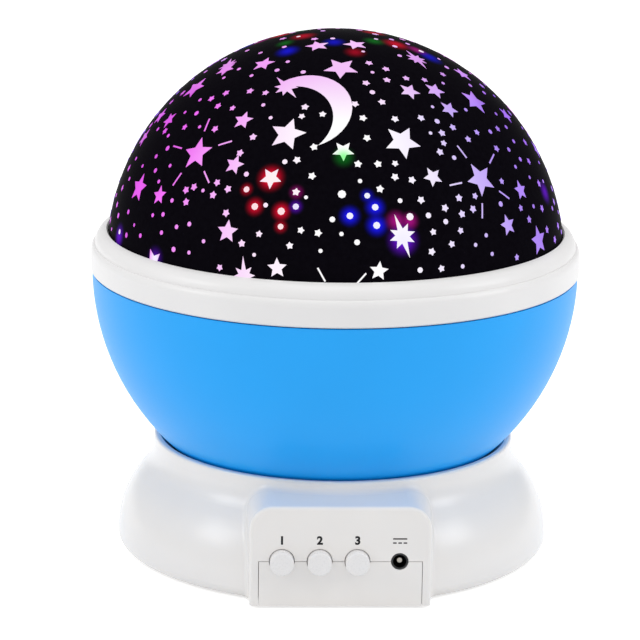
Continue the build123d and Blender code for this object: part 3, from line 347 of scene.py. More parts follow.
# ------------------------------------------------------------------ finishes
@dataclass(frozen=True)
class Finish:
    """What a part is made of or coated in. Each kind adds its own nodes before one surface shader."""

    name: str

    def build(self) -> Material:
        """Builds the material.

        Returns:
            The material, read in object coordinates.
        """
        material, add = blank_material(self.name)
        place = add("TexCoord").outputs["Object"]
        add("OutputMaterial", {"Surface": add("BsdfPrincipled", self.surface(add, place))})
        return material

    def surface(self, add: Adder, place: NodeSocket) -> dict:
        """Adds the finish's own nodes and returns the surface shader's sockets."""
        raise NotImplementedError

    @staticmethod
    def clouded(
        add: Adder, place: NodeSocket, colour: str, size_mm: float, shades: Point, detail: float = 1.0
    ) -> Node:
        """Adds a colour whose lightness drifts in soft clouds.

        Args:
            add: adds a node to the material.
            place: object coordinates.
            colour: the colour in sRGB hex.
            size_mm: how wide the clouds are.
            shades: the darkest and the lightest cloud, as shares of the colour.
            detail: how broken the clouds' edges are.

        Returns:
            The node that gives the colour.
        """
        noise = {"Vector": place, "Scale": 1 / (size_mm * MM), "Detail": detail}
        shade = {"Value": add("TexNoise", noise), "To Min": shades[0], "To Max": shades[1]}
        tint = {"Color": linear(colour), "Value": add("MapRange", shade)}
        return add("HueSaturation", tint)


@dataclass(frozen=True)
class MouldedPlastic(Finish):
    """Moulded plastic: a fine spark grain breaks up the gloss, and the colour drifts a little."""

    colour: str
    roughness: float
    specular: float = 0.5
    grain_mm: float = 0.5
    grain_depth_mm: float = 0.006
    sheen: float = 0.04
    drift_mm: float = 18.0
    drift: float = 0.03

    def surface(self, add: Adder, place: NodeSocket) -> dict:
        """Adds the drift of colour and the grain.

        Args:
            add: adds a node to the material.
            place: object coordinates.

        Returns:
            The surface shader's sockets.
        """
        grain = add("TexNoise", {"Vector": place, "Scale": 1 / (self.grain_mm * MM), "Detail": 2.0})
        dull, gloss = self.roughness + self.sheen, self.roughness - self.sheen
        relief = {"Height": grain, "Distance": self.grain_depth_mm * MM, "Strength": 1.0}
        shades = (1 - self.drift, 1 + self.drift)
        return {
            "Base Color": self.clouded(add, place, self.colour, self.drift_mm, shades),
            "Roughness": add("MapRange", {"Value": grain, "To Min": gloss, "To Max": dull}),
            "Normal": add("Bump", relief),
            "Specular IOR Level": self.specular,
        }


@dataclass(frozen=True)
class PlatedMetal(Finish):
    """Plated or turned metal: fine lines along one axis stretch the highlight over a cloudy tone."""

    colour: str
    roughness: float
    smoother: float = 0.08
    rougher: float = 0.12
    line_mm: float = 0.25
    line_axis: int = 2
    line_stretch: float = 12.0
    cloud_mm: float = 3.0
    shades: Point = (0.82, 1.12)

    def surface(self, add: Adder, place: NodeSocket) -> dict:
        """Adds the lines and the clouds.

        Args:
            add: adds a node to the material.
            place: object coordinates.

        Returns:
            The surface shader's sockets.
        """
        scale = Vector((1.0, 1.0, 1.0)) / (self.line_mm * MM)
        scale[self.line_axis] /= self.line_stretch
        drawn = add("Mapping", {"Vector": place, "Scale": scale})
        lines = add("TexNoise", {"Vector": drawn, "Scale": 1.0, "Detail": 2.0})
        low, high = self.roughness - self.smoother, self.roughness + self.rougher
        return {
            "Base Color": self.clouded(add, place, self.colour, self.cloud_mm, self.shades, detail=3.0),
            "Roughness": add("MapRange", {"Value": lines, "To Min": low, "To Max": high}),
            "Metallic": 1.0,
        }


@dataclass(frozen=True)
class CircuitBoard(Finish):
    """Glass-fibre board under solder mask: copper tracks show through the mask as lighter lines."""

    mask: str = "#14552C"
    track: str = "#2A7A44"
    track_pitch_mm: float = 2.54
    disorder: float = 0.35
    track_edge: Point = (0.42, 0.5)
    roughness: float = 0.35

    def surface(self, add: Adder, place: NodeSocket) -> dict:
        """Adds the tracks.

        Args:
            add: adds a node to the material.
            place: object coordinates.

        Returns:
            The surface shader's sockets.
        """
        grid = {"Vector": place, "Scale": 1 / (self.track_pitch_mm * MM), "Randomness": self.disorder}
        cells = add("TexVoronoi", grid, distance="CHEBYCHEV", feature="F1")
        inner, outer = self.track_edge
        edge = add("MapRange", {"Value": cells, "From Min": inner, "From Max": outer})
        colours = {"Factor": edge, "A": linear(self.mask), "B": linear(self.track)}
        return {"Base Color": add("Mix", colours, data_type="RGBA"), "Roughness": self.roughness}


@dataclass(frozen=True)
class EpoxyLamp(Finish):
    """Lamp cast in tinted clear epoxy: light passes through it and its rounded nose is glossy."""

    colour: str
    cloud_mm: float = 2.0
    shades: Point = (0.9, 1.0)
    roughness: float = 0.08
    clear: float = 0.7
    ior: float = 1.54

    def surface(self, add: Adder, place: NodeSocket) -> dict:
        """Adds the cast resin's faint clouds.

        Args:
            add: adds a node to the material.
            place: object coordinates.

        Returns:
            The surface shader's sockets.
        """
        return {
            "Base Color": self.clouded(add, place, self.colour, self.cloud_mm, self.shades),
            "Roughness": self.roughness,
            "Transmission Weight": self.clear,
            "IOR": self.ior,
        }


@dataclass(frozen=True)
class CellSleeve(Finish):
    """Shrink sleeves of a row of battery cells, glossy film over steel.

    Each has a dark body and a copper-coloured band at its plus end, which lies to the front and to the
    back in turn along the row.
    """

    node: str = "aaa_cells"
    cells: int = 4
    body: str = "#1F2A2C"
    band: str = "#B9783C"
    band_start_mm: float = 10.5
    roughness: float = 0.3
    metallic: float = 0.3

    def surface(self, add: Adder, place: NodeSocket) -> dict:
        """Adds the bands.

        Args:
            add: adds a node to the material.
            place: object coordinates.

        Returns:
            The surface shader's sockets.
        """
        low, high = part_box(self.node)
        axes = add("SeparateXYZ", {"Vector": place}).outputs
        # the cell's number in the row, then -1 and 1 in turn
        row = {"Value": axes["X"], "From Min": low.x, "From Max": high.x, "To Max": self.cells}
        number = add("Math", {0: add("MapRange", row)}, operation="FLOOR")
        odd = add("Math", {0: number, 1: 2.0}, operation="MODULO")
        way = add("MapRange", {"Value": odd, "To Min": -1.0, "To Max": 1.0})
        middle = (low.y + high.y) / 2
        offset = add("Math", {0: axes["Y"], 1: middle}, operation="SUBTRACT")
        ahead = add("Math", {0: offset, 1: way}, operation="MULTIPLY")
        inside = add("Math", {0: ahead, 1: self.band_start_mm * MM}, operation="GREATER_THAN")
        colours = {"Factor": inside, "A": linear(self.body), "B": linear(self.band)}
        return {
            "Base Color": add("Mix", colours, data_type="RGBA"),
            "Roughness": self.roughness,
            "Metallic": self.metallic,
        }


@dataclass(frozen=True)
class Glow:
    """Place where a lamp behind the dome shines straight at the eye, by its pixel in the front view."""

    colour: str
    column: float
    row: float
    reach_mm: float
    strength: float
    # share of the lamp's colour left in the painted light at the glow's centre, which is otherwise burnt
    # out to white
    stain: float = 0.14

    def burnt_out(self) -> Colour:
        """Returns white with a trace of the lamp's colour, as a window right in front of it looks."""
        full = max(linear(self.colour)[:3])
        return (*(1 - self.stain * (1 - c / full) for c in linear(self.colour)[:3]), 1.0)


RED, GREEN, BLUE, VIOLET, PINK = "#E0082E", "#0A8A22", "#1616F0", "#7A14F0", "#B8108C"
GLOWS = (
    Glow(RED, 270.8, 178, 3.8, 1.4),
    Glow(RED, 246.5, 189.4, 2.0, 0.60, stain=0.28),
    Glow(RED, 254.8, 206.5, 2.7, 0.9, stain=0.28),
    Glow(RED, 281.2, 211.3, 2.7, 1.1, stain=0.28),
    Glow(RED, 280.6, 226.6, 2.0, 0.60, stain=0.28),
    Glow(PINK, 296.4, 192.2, 2.2, 0.50),
    Glow(VIOLET, 295.8, 206.6, 2.1, 0.45, stain=0.28),
    Glow(GREEN, 343.6, 157.0, 3.2, 0.50, stain=0.75),
    Glow(BLUE, 349.9, 215.9, 2.9, 1.1),
    Glow(BLUE, 375.2, 207.2, 2.9, 1.1),
    Glow(BLUE, 376.7, 225.4, 3.1, 1.15),
    Glow(BLUE, 367.2, 195.7, 2.1, 0.55),
    Glow(PINK, 396.0, 221, 3.1, 0.75),
    Glow(PINK, 410.0, 221, 2.6, 0.75),
    Glow(VIOLET, 403.0, 240, 4.4, 0.85),
    Glow(RED, 303.0, 36, 4.0, 0.55),
    Glow(GREEN, 285.0, 43, 3.0, 0.40),
    Glow(BLUE, 287.5, 51, 3.6, 0.65),
    Glow(BLUE, 334.0, 42, 3.4, 0.55),
    Glow(RED, 355.0, 52, 3.2, 0.40),
    Glow(GREEN, 374.0, 41, 3.4, 0.45),
    Glow(RED, 396.0, 44, 4.2, 0.70),
    Glow(PINK, 417.0, 50, 3.4, 0.60),
    Glow(BLUE, 430.0, 57, 4.0, 0.50),
    Glow(VIOLET, 119.0, 236, 3.6, 0.60),
    Glow(VIOLET, 545.0, 192, 3.6, 0.50),
    Glow(VIOLET, 155.0, 258, 3.4, 0.35),
)


@dataclass(frozen=True)
class LampLit(Finish):
    """Skin of the dome, lit from inside. Its back half repeats the front half, turned round."""

    shape: DomeShape
    halo_spread: float = 1.2
    halo_fall: float = 1.5

    def folded(self, add: Adder, place: NodeSocket) -> Node:
        """Adds the nodes that turn the back half's points by half a turn, onto the front half.

        Args:
            add: adds a node to the material.
            place: object coordinates.

        Returns:
            The node that gives the folded coordinates.
        """
        depth = add("SeparateXYZ", {"Vector": place}).outputs["Y"]
        behind = add("Math", {0: depth, 1: 0.0}, operation="GREATER_THAN")
        flip = add("MapRange", {"Value": behind, "To Min": 1.0, "To Max": -1.0})
        signs = add("CombineXYZ", {"X": flip, "Y": flip, "Z": 1.0})
        return add("VectorMath", {0: place, 1: signs}, operation="MULTIPLY")

    def nearness(self, add: Adder, place: Node, glow: Glow, share: float) -> Node:
        """Adds the nodes that say how near a point is to a glow.

        Args:
            add: adds a node to the material.
            place: folded object coordinates.
            glow: the glow.
            share: the value at the glow's centre.

        Returns:
            A value that falls smoothly from share at the centre to nought at the glow's reach.
        """
        centre = self.shape.point(glow.column, glow.row)
        gap = add("VectorMath", {0: place, 1: centre}, operation="DISTANCE")
        reach = {"Value": gap, "From Min": glow.reach_mm * MM * self.halo_spread, "From Max": 0.0}
        near = add("MapRange", reach, interpolation_type="SMOOTHSTEP")
        # the eye sees a straight fall in light as an edge, so the light falls off ever more gently
        soft = add("Math", {0: near, 1: self.halo_fall}, operation="POWER")
        return add("Math", {0: soft, 1: share}, operation="MULTIPLY")


@dataclass(frozen=True)
class LitWindows(LampLit):
    """Clear windows of the dome with the lamps' light in them, under a thin gloss.

    Their colour turns with the side of the dome that they are on, since a lamp of another colour stands
    behind each side. Close to a glow they burn out to nearly white.
    """

    sides: tuple[tuple[float, str], ...] = (
        (0.00, "#C930E0"), (0.12, "#EA4EF2"), (0.20, "#F76EFA"), (0.30, "#F6AEF9"),
        (0.38, "#FBE8FB"), (0.45, "#FFFDFF"), (0.56, "#FFFDFF"), (0.64, "#F1E8FD"),
        (0.72, "#C9B2F8"), (0.80, "#B08AFA"), (0.90, "#A25EF8"), (1.00, "#8326EE"),
    )
    body: str = "#1C161E"
    roughness: float = 0.3
    specular: float = 0.1
    high_tint: str = "#EDA2F3"
    high_share: float = 0.75
    high_start: float = 0.74
    high_end: float = 0.90
    dim_patch_mm: float = 9.0
    dim_noise: Point = (0.40, 0.62)
    dim_sides: Point = (35.0, 70.0)
    dimmest: float = 0.8

    def surface(self, add: Adder, place: NodeSocket) -> dict:
        """Adds the light, which is emission at full strength.

        Args:
            add: adds a node to the material.
            place: object coordinates.

        Returns:
            The surface shader's sockets.
        """
        folded = self.folded(add, place)
        axes = add("SeparateXYZ", {"Vector": folded}).outputs
        # how far round to the side a window lies, from left to right
        front = add("Math", {0: axes["Y"], 1: -1.0}, operation="MULTIPLY")
        angle = add("Math", {0: axes["X"], 1: front}, operation="ARCTAN2")
        # higher up the lamps are seen through the dome at a slant, so the light turns pinker
        height, radius = self.shape.height, self.shape.radius
        climb = {
            "Value": axes["Z"],
            "From Min": height + radius * self.high_start,
            "From Max": height + radius * self.high_end,
            "To Max": self.high_share,
        }
        colours = {
            "Factor": add("MapRange", climb),
            "A": self.side_colour(add, angle),
            "B": linear(self.high_tint),
        }
        mixed = add("Mix", colours, data_type="RGBA")
        light = add("HueSaturation", {"Color": mixed, "Value": self.level(add, folded, angle)})
        for glow in GLOWS:
            near = self.nearness(add, folded, glow, 1.0)
            light = add("Mix", {"Factor": near, "A": light, "B": glow.burnt_out()}, data_type="RGBA")
        return {
            "Base Color": linear(self.body),
            "Roughness": self.roughness,
            "Specular IOR Level": self.specular,
            "Emission Color": light,
            "Emission Strength": 1.0,
        }

    def side_colour(self, add: Adder, angle: Node) -> Node:
        """Adds the colour that turns round the dome.

        Args:
            add: adds a node to the material.
            angle: how far round to the right a point lies.

        Returns:
            The node that gives the colour.
        """
        half = {"Value": angle, "From Min": -math.pi / 2, "From Max": math.pi / 2}
        sides = add("ValToRGB", {"Fac": add("MapRange", half)})
        ramp = sides.color_ramp.elements
        while len(ramp) < len(self.sides):
            ramp.new(1.0)
        for element, (where, colour) in zip(ramp, self.sides):
            element.position = where
            element.color = linear(colour)
        return sides

    def level(self, add: Adder, place: Node, angle: Node) -> Node:
        """Adds the dimming of some windows round the sides, which face away from the lamps.

        Args:
            add: adds a node to the material.
            place: folded object coordinates.
            angle: how far round to the right a point lies.

        Returns:
            The node that gives the light's share.
        """
        noise = {"Vector": place, "Scale": 1 / (self.dim_patch_mm * MM), "Detail": 1.0}
        patches = {"Value": add("TexNoise", noise)}
        patches |= {"From Min": self.dim_noise[0], "From Max": self.dim_noise[1]}
        near, far = (math.radians(a) for a in self.dim_sides)
        turn = add("Math", {0: angle}, operation="ABSOLUTE")
        aside = add("MapRange", {"Value": turn, "From Min": near, "From Max": far})
        both = add("Math", {0: add("MapRange", patches), 1: aside}, operation="MULTIPLY")
        return add("MapRange", {"Value": both, "To Min": 1.0, "To Max": self.dimmest})


@dataclass(frozen=True)
class BlackPrint(LampLit):
    """Satin black screen print, faintly mottled, with a little of each lamp's light bleeding through."""

    inks: tuple[str, str] = ("#070509", "#0F0D13")
    mottle_mm: float = 1.2
    sheens: Point = (0.34, 0.46)
    ior: float = 1.02

    def surface(self, add: Adder, place: NodeSocket) -> dict:
        """Adds the mottle and the bleeding light.

        Args:
            add: adds a node to the material.
            place: object coordinates.

        Returns:
            The surface shader's sockets.
        """
        folded = self.folded(add, place)
        mottle = add("TexNoise", {"Vector": folded, "Scale": 1 / (self.mottle_mm * MM), "Detail": 3.0})
        inks = {"Factor": mottle, "A": linear(self.inks[0]), "B": linear(self.inks[1])}
        sheen = {"Value": mottle, "To Min": self.sheens[0], "To Max": self.sheens[1]}
        bleed: Node | Colour = BLACK
        for glow in GLOWS:
            near = self.nearness(add, folded, glow, glow.strength)
            bleed = add("Mix", {"Factor": near, "A": bleed, "B": linear(glow.colour)}, data_type="RGBA")
        return {
            "Base Color": add("Mix", inks, data_type="RGBA"),
            "Roughness": add("MapRange", sheen),
            "IOR": self.ior,
            "Emission Color": bleed,
            "Emission Strength": 1.0,
        }


def shared_finishes() -> dict[str, Material]:
    """Builds the finishes that parts share, in the colours of the real ABS, nylon, acetal and metal, but
    for the base's white, which carries a painted warm offset against the bowl's blue bounce light.

    Returns:
        The materials by slot.
    """
    recipes = {
        "white_shell": MouldedPlastic("white_abs", "#ECEBEB", 0.33, 0.45, grain_depth_mm=0.003),
        # the base's white is the ring's white warmed a little: painted warmth that offsets the blue light
        # bounced onto the base from the bowl
        "base_white": MouldedPlastic("warm_white_abs", "#EFECE9", 0.25, 0.42, grain_depth_mm=0.0015),
        "blue_shell": MouldedPlastic("sky_blue_abs", "#01A9FF", 0.43, 0.42, grain_depth_mm=0.003),
        "button_white": MouldedPlastic("white_button_abs", "#ECEAE9", 0.28),
        "legend_ink": MouldedPlastic("pad_printed_ink", "#1B1B1E", 0.6, 0.2),
        "black_plastic": MouldedPlastic("black_nylon", "#0D0D0F", 0.4),
        "foot_rubber": MouldedPlastic("foot_rubber", "#2C2C2E", 0.8, 0.2, grain_mm=0.3),
        "post_plastic": MouldedPlastic("natural_abs", "#DFDCD2", 0.5),
        "bearing_nylon": MouldedPlastic("natural_acetal", "#E9E4D6", 0.4),
        "gearbox_plastic": MouldedPlastic("grey_abs", "#3A3B3E", 0.5),
        "screw_steel": PlatedMetal("zinc_plated_steel", "#B9BCC0", 0.3),
        "contact_nickel": PlatedMetal("bright_nickel", "#9C978E", 0.3),
        "circuit_board": CircuitBoard("solder_mask"),
        "cell_wrap": CellSleeve("cell_sleeve"),
        "lamp_white": EpoxyLamp("clear_epoxy", "#FFF6DC"),
        "lamp_red": EpoxyLamp("red_epoxy", "#F02222"),
        "lamp_green": EpoxyLamp("green_epoxy", "#22D84A"),
        "lamp_blue": EpoxyLamp("blue_epoxy", "#2A4CF0"),
    }
    return {slot: recipe.build() for slot, recipe in recipes.items()}


# ------------------------------------------------------------------ studio
@dataclass(frozen=True)
class SoftBox:
    """One soft light: a lit panel of that width, aimed at the object."""

    name: str
    place: tuple[float, float, float]
    width: float
    watts: float

    def build(self, aim: Vector) -> None:
        """Makes the light.

        Args:
            aim: the point that it faces.
        """
        data = bpy.data.lights.new(self.name, "AREA")
        data.shape = "SQUARE"
        data.size = self.width
        data.energy = self.watts
        light = add_object(self.name, data)
        light.location = self.place
        light.rotation_euler = (aim - Vector(self.place)).to_track_quat("-Z", "Y").to_euler()


@dataclass
class Studio:
    """White sweep, even white surroundings and three soft boxes."""

    fill: float = 0.72
    floor_side: float = 6.0
    floor_colour: str = "#F2F2F2"
    floor_lift: float = 0.6
    boxes: tuple[SoftBox, ...] = (
        SoftBox("left_box", (-0.78, -0.26, 0.46), 0.30, 1.35),
        SoftBox("right_box", (0.78, -0.26, 0.46), 0.30, 1.35),
        SoftBox("top_box", (0.0, -0.20, 0.95), 0.50, 1.3),
    )

    def build(self) -> None:
        """Makes the surroundings, the lights and the floor."""
        bpy.context.scene.view_settings.view_transform = "Standard"
        self.surroundings()
        for box in self.boxes:
            box.build((CAD_BOX[0] + CAD_BOX[1]) / 2)
        self.floor()

    def surroundings(self) -> None:
        """Makes a world that lights softly, and is plain white to the camera and through clear parts."""
        world = bpy.data.worlds.new("white_room")
        bpy.context.scene.world = world
        world.use_nodes = True
        world.node_tree.nodes.clear()
        add = partial(add_node, world.node_tree)
        path = add("LightPath").outputs
        rays = {0: path["Is Camera Ray"], 1: path["Is Transmission Ray"]}
        seen = add("Math", rays, operation="MAXIMUM")
        strength = add("MapRange", {"Value": seen, "To Min": self.fill, "To Max": 1.0})
        add("OutputWorld", {"Surface": add("Background", {"Color": WHITE, "Strength": strength})})

    def floor(self) -> None:
        """Makes the floor: white to the camera and in gloss, but it keeps the shadow under the base."""
        half = self.floor_side / 2
        corners = [(-half, -half, 0), (half, -half, 0), (half, half, 0), (-half, half, 0)]
        mesh = new_mesh("floor", corners, [(0, 1, 2, 3)])
        material, add = blank_material("white_sweep")
        path = add("LightPath").outputs
        seen = add("Math", {0: path["Is Camera Ray"], 1: path["Is Glossy Ray"]}, operation="MAXIMUM")
        lift = add("Math", {0: seen, 1: self.floor_lift}, operation="MULTIPLY")
        paper = add("BsdfDiffuse", {"Color": linear(self.floor_colour)})
        lamp = add("Emission", {"Color": WHITE, "Strength": lift})
        add("OutputMaterial", {"Surface": add("AddShader", {0: paper, 1: lamp})})
        mesh.materials.append(material)
        add_object("floor", mesh)


# ------------------------------------------------------------------ star dome
class Cut(Enum):
    """Outline of a window in the dome's print. The value is the number that the node group reads."""

    DOT = 0
    SMALL_STAR = 1
    STAR = 2
    BURST = 3
    RAYED = 4
    CRESCENT = 5


@dataclass(frozen=True)
class Window:
    """Window with a place of its own: its outline, its pixel in the front view, its size and its turn."""

    cut: Cut
    column: float
    row: float
    size_mm: float
    turn: float = 0.0


# main windows by outline: column and row in the front view, size in mm and turn in degrees
MAIN_WINDOWS: dict[Cut, tuple[tuple[float, ...], ...]] = {
    Cut.CRESCENT: ((304.3, 108.4, 24.6, 47.0),),
    Cut.BURST: (
        (286.3, 86.9, 10.6, 50), (402.5, 236.0, 11.6, 16), (416.5, 59.0, 9.5, -21),
        (446.0, 56.5, 9.0, 60), (244.0, 276.0, 10.0, 8),
    ),
    Cut.RAYED: ((197.2, 153.2, 21.0, 14), (480.8, 179.2, 21.0, 17), (338.0, 304.0, 21.0, 30)),
    Cut.STAR: (
        (287.4, 134.1, 9.7, -7), (402.4, 141.7, 9.8, 35), (341.0, 67.9, 9.2, 32),
        (343.3, 150.9, 5.7, 37), (270.8, 178.0, 5.9, 41), (263.6, 63.8, 6.2, 20), (317.4, 45.7, 6.4, 34),
        (355.3, 44.5, 6.4, 4), (226.0, 69.3, 6.0, 6), (194.9, 88.1, 8.0, 12), (160.5, 116.1, 5.4, 18),
        (169.2, 119.8, 5.2, 50), (144.1, 137.6, 5.6, 0), (243.1, 120.3, 5.6, 4), (234.4, 164.7, 5.5, -6),
        (139.0, 187.6, 7.8, 4), (159.4, 195.3, 5.2, 12), (227.4, 231.5, 6.0, 2), (277.0, 268.0, 5.2, 5),
        (379.0, 271.0, 5.0, -8), (409.6, 91.2, 5.8, 30), (434.9, 90.4, 5.8, 28), (449.1, 109.1, 5.4, 24),
        (462.4, 73.9, 5.6, 26), (474.7, 101.1, 8.4, 30), (506.0, 114.9, 5.2, 20),
        (535.9, 149.3, 5.2, 10), (432.9, 176.9, 5.4, 20), (520.6, 190.2, 5.4, -4),
        (508.0, 225.1, 5.6, 6), (538.9, 240.4, 7.8, 2), (153.0, 262.0, 7.0, 30),
    ),
    Cut.DOT: (
        (246.5, 189.4, 1.6), (254.8, 206.5, 1.8), (281.2, 211.3, 1.9), (280.6, 226.6, 1.5),
        (295.8, 206.6, 1.6), (349.9, 215.9, 1.7), (375.2, 207.2, 1.7), (376.7, 225.4, 1.8),
        (367.2, 195.7, 1.5), (341.9, 194.2, 2.1), (332.3, 219.4, 1.5), (357.1, 242.3, 1.5),
        (410.0, 216.7, 1.9),
    ),
}

# small stars in the middle of the front, by column and row
SMALL_STARS = (
    (305, 107), (314, 147), (297, 160), (312, 176), (296, 192), (253, 137), (367, 138), (363, 118),
    (358, 164), (378, 164), (395, 177), (412, 180), (380, 189), (382, 102), (395, 119), (366, 83),
    (387, 80), (386, 69), (369, 63), (355, 104), (226, 93), (218, 106), (250, 91), (228, 189),
    (226, 213), (240, 153), (440, 152), (421, 200), (445, 208), (459, 198), (462, 214), (473, 209),
    (186, 190), (194, 187), (213, 195), (186, 202), (165, 131), (215, 129), (442, 133), (421, 118),
)


@dataclass
class Outline:
    """Flat shape one unit across, as points and faces that run anticlockwise."""

    points: list[Point] = field(default_factory=list)
    faces: list[tuple[int, ...]] = field(default_factory=list)

    def fan(self, rim: Sequence[Point], hub: Point = (0.0, 0.0)) -> None:
        """Adds triangles from a hub to each side of a closed rim.

        Args:
            rim: the rim's points, anticlockwise.
            hub: the point that they all meet.
        """
        first, count = len(self.points), len(rim)
        self.points += [hub, *rim]
        self.faces += [(first, first + 1 + i, first + 1 + (i + 1) % count) for i in range(count)]

    def strip(self, right: Sequence[Point], left: Sequence[Point]) -> None:
        """Adds faces between two lines, which may meet at their ends.

        Args:
            right: points of the line on the right, upwards.
            left: as many points of the line on the left.
        """
        numbers: dict[Point, int] = {}
        for point in (*right, *left):
            if point not in numbers:
                numbers[point] = len(self.points)
                self.points.append(point)
        rungs = [(numbers[a], numbers[b]) for a, b in zip(right, left)]
        for (a, b), (c, d) in zip(rungs, rungs[1:]):
            self.faces.append(tuple(dict.fromkeys((a, c, d, b))))

    def closed_mesh(self, name: str) -> Mesh:
        """Makes the shape a closed skin whose top and bottom lie together until the dome parts them.

        Args:
            name: the mesh's name.

        Returns:
            The mesh. Its point attribute top is one on the upper skin and nought on the lower.
        """
        count = len(self.points)
        edges = {(f[i], f[(i + 1) % len(f)]) for f in self.faces for i in range(len(f))}
        rim = [(a, b) for a, b in sorted(edges) if (b, a) not in edges]
        lower = [tuple(i + count for i in reversed(f)) for f in self.faces]
        sides = [(a + count, b + count, b, a) for a, b in rim]
        flat = [(x, y, 0.0) for x, y in self.points]
        mesh = new_mesh(name, flat * 2, [*self.faces, *lower, *sides])
        top = mesh.attributes.new("top", "FLOAT", "POINT")
        top.data.foreach_set("value", [1.0] * count + [0.0] * count)
        return mesh


def polar(radius: float, degrees: float) -> Point:
    """Returns the flat point at a radius and an angle from +Y, anticlockwise."""
    angle = math.radians(degrees + 90)
    return (radius * math.cos(angle), radius * math.sin(angle))


def star_rim(points: int, outer: float, waist: float) -> list[Point]:
    """Lists a star's corners anticlockwise.

    Args:
        points: how many points it has.
        outer: radius of its tips.
        waist: radius of the corners between them, as a share of outer.

    Returns:
        Tips and waists in turn.
    """
    step = 180 / points
    return [polar(outer if i % 2 == 0 else outer * waist, i * step) for i in range(2 * points)]


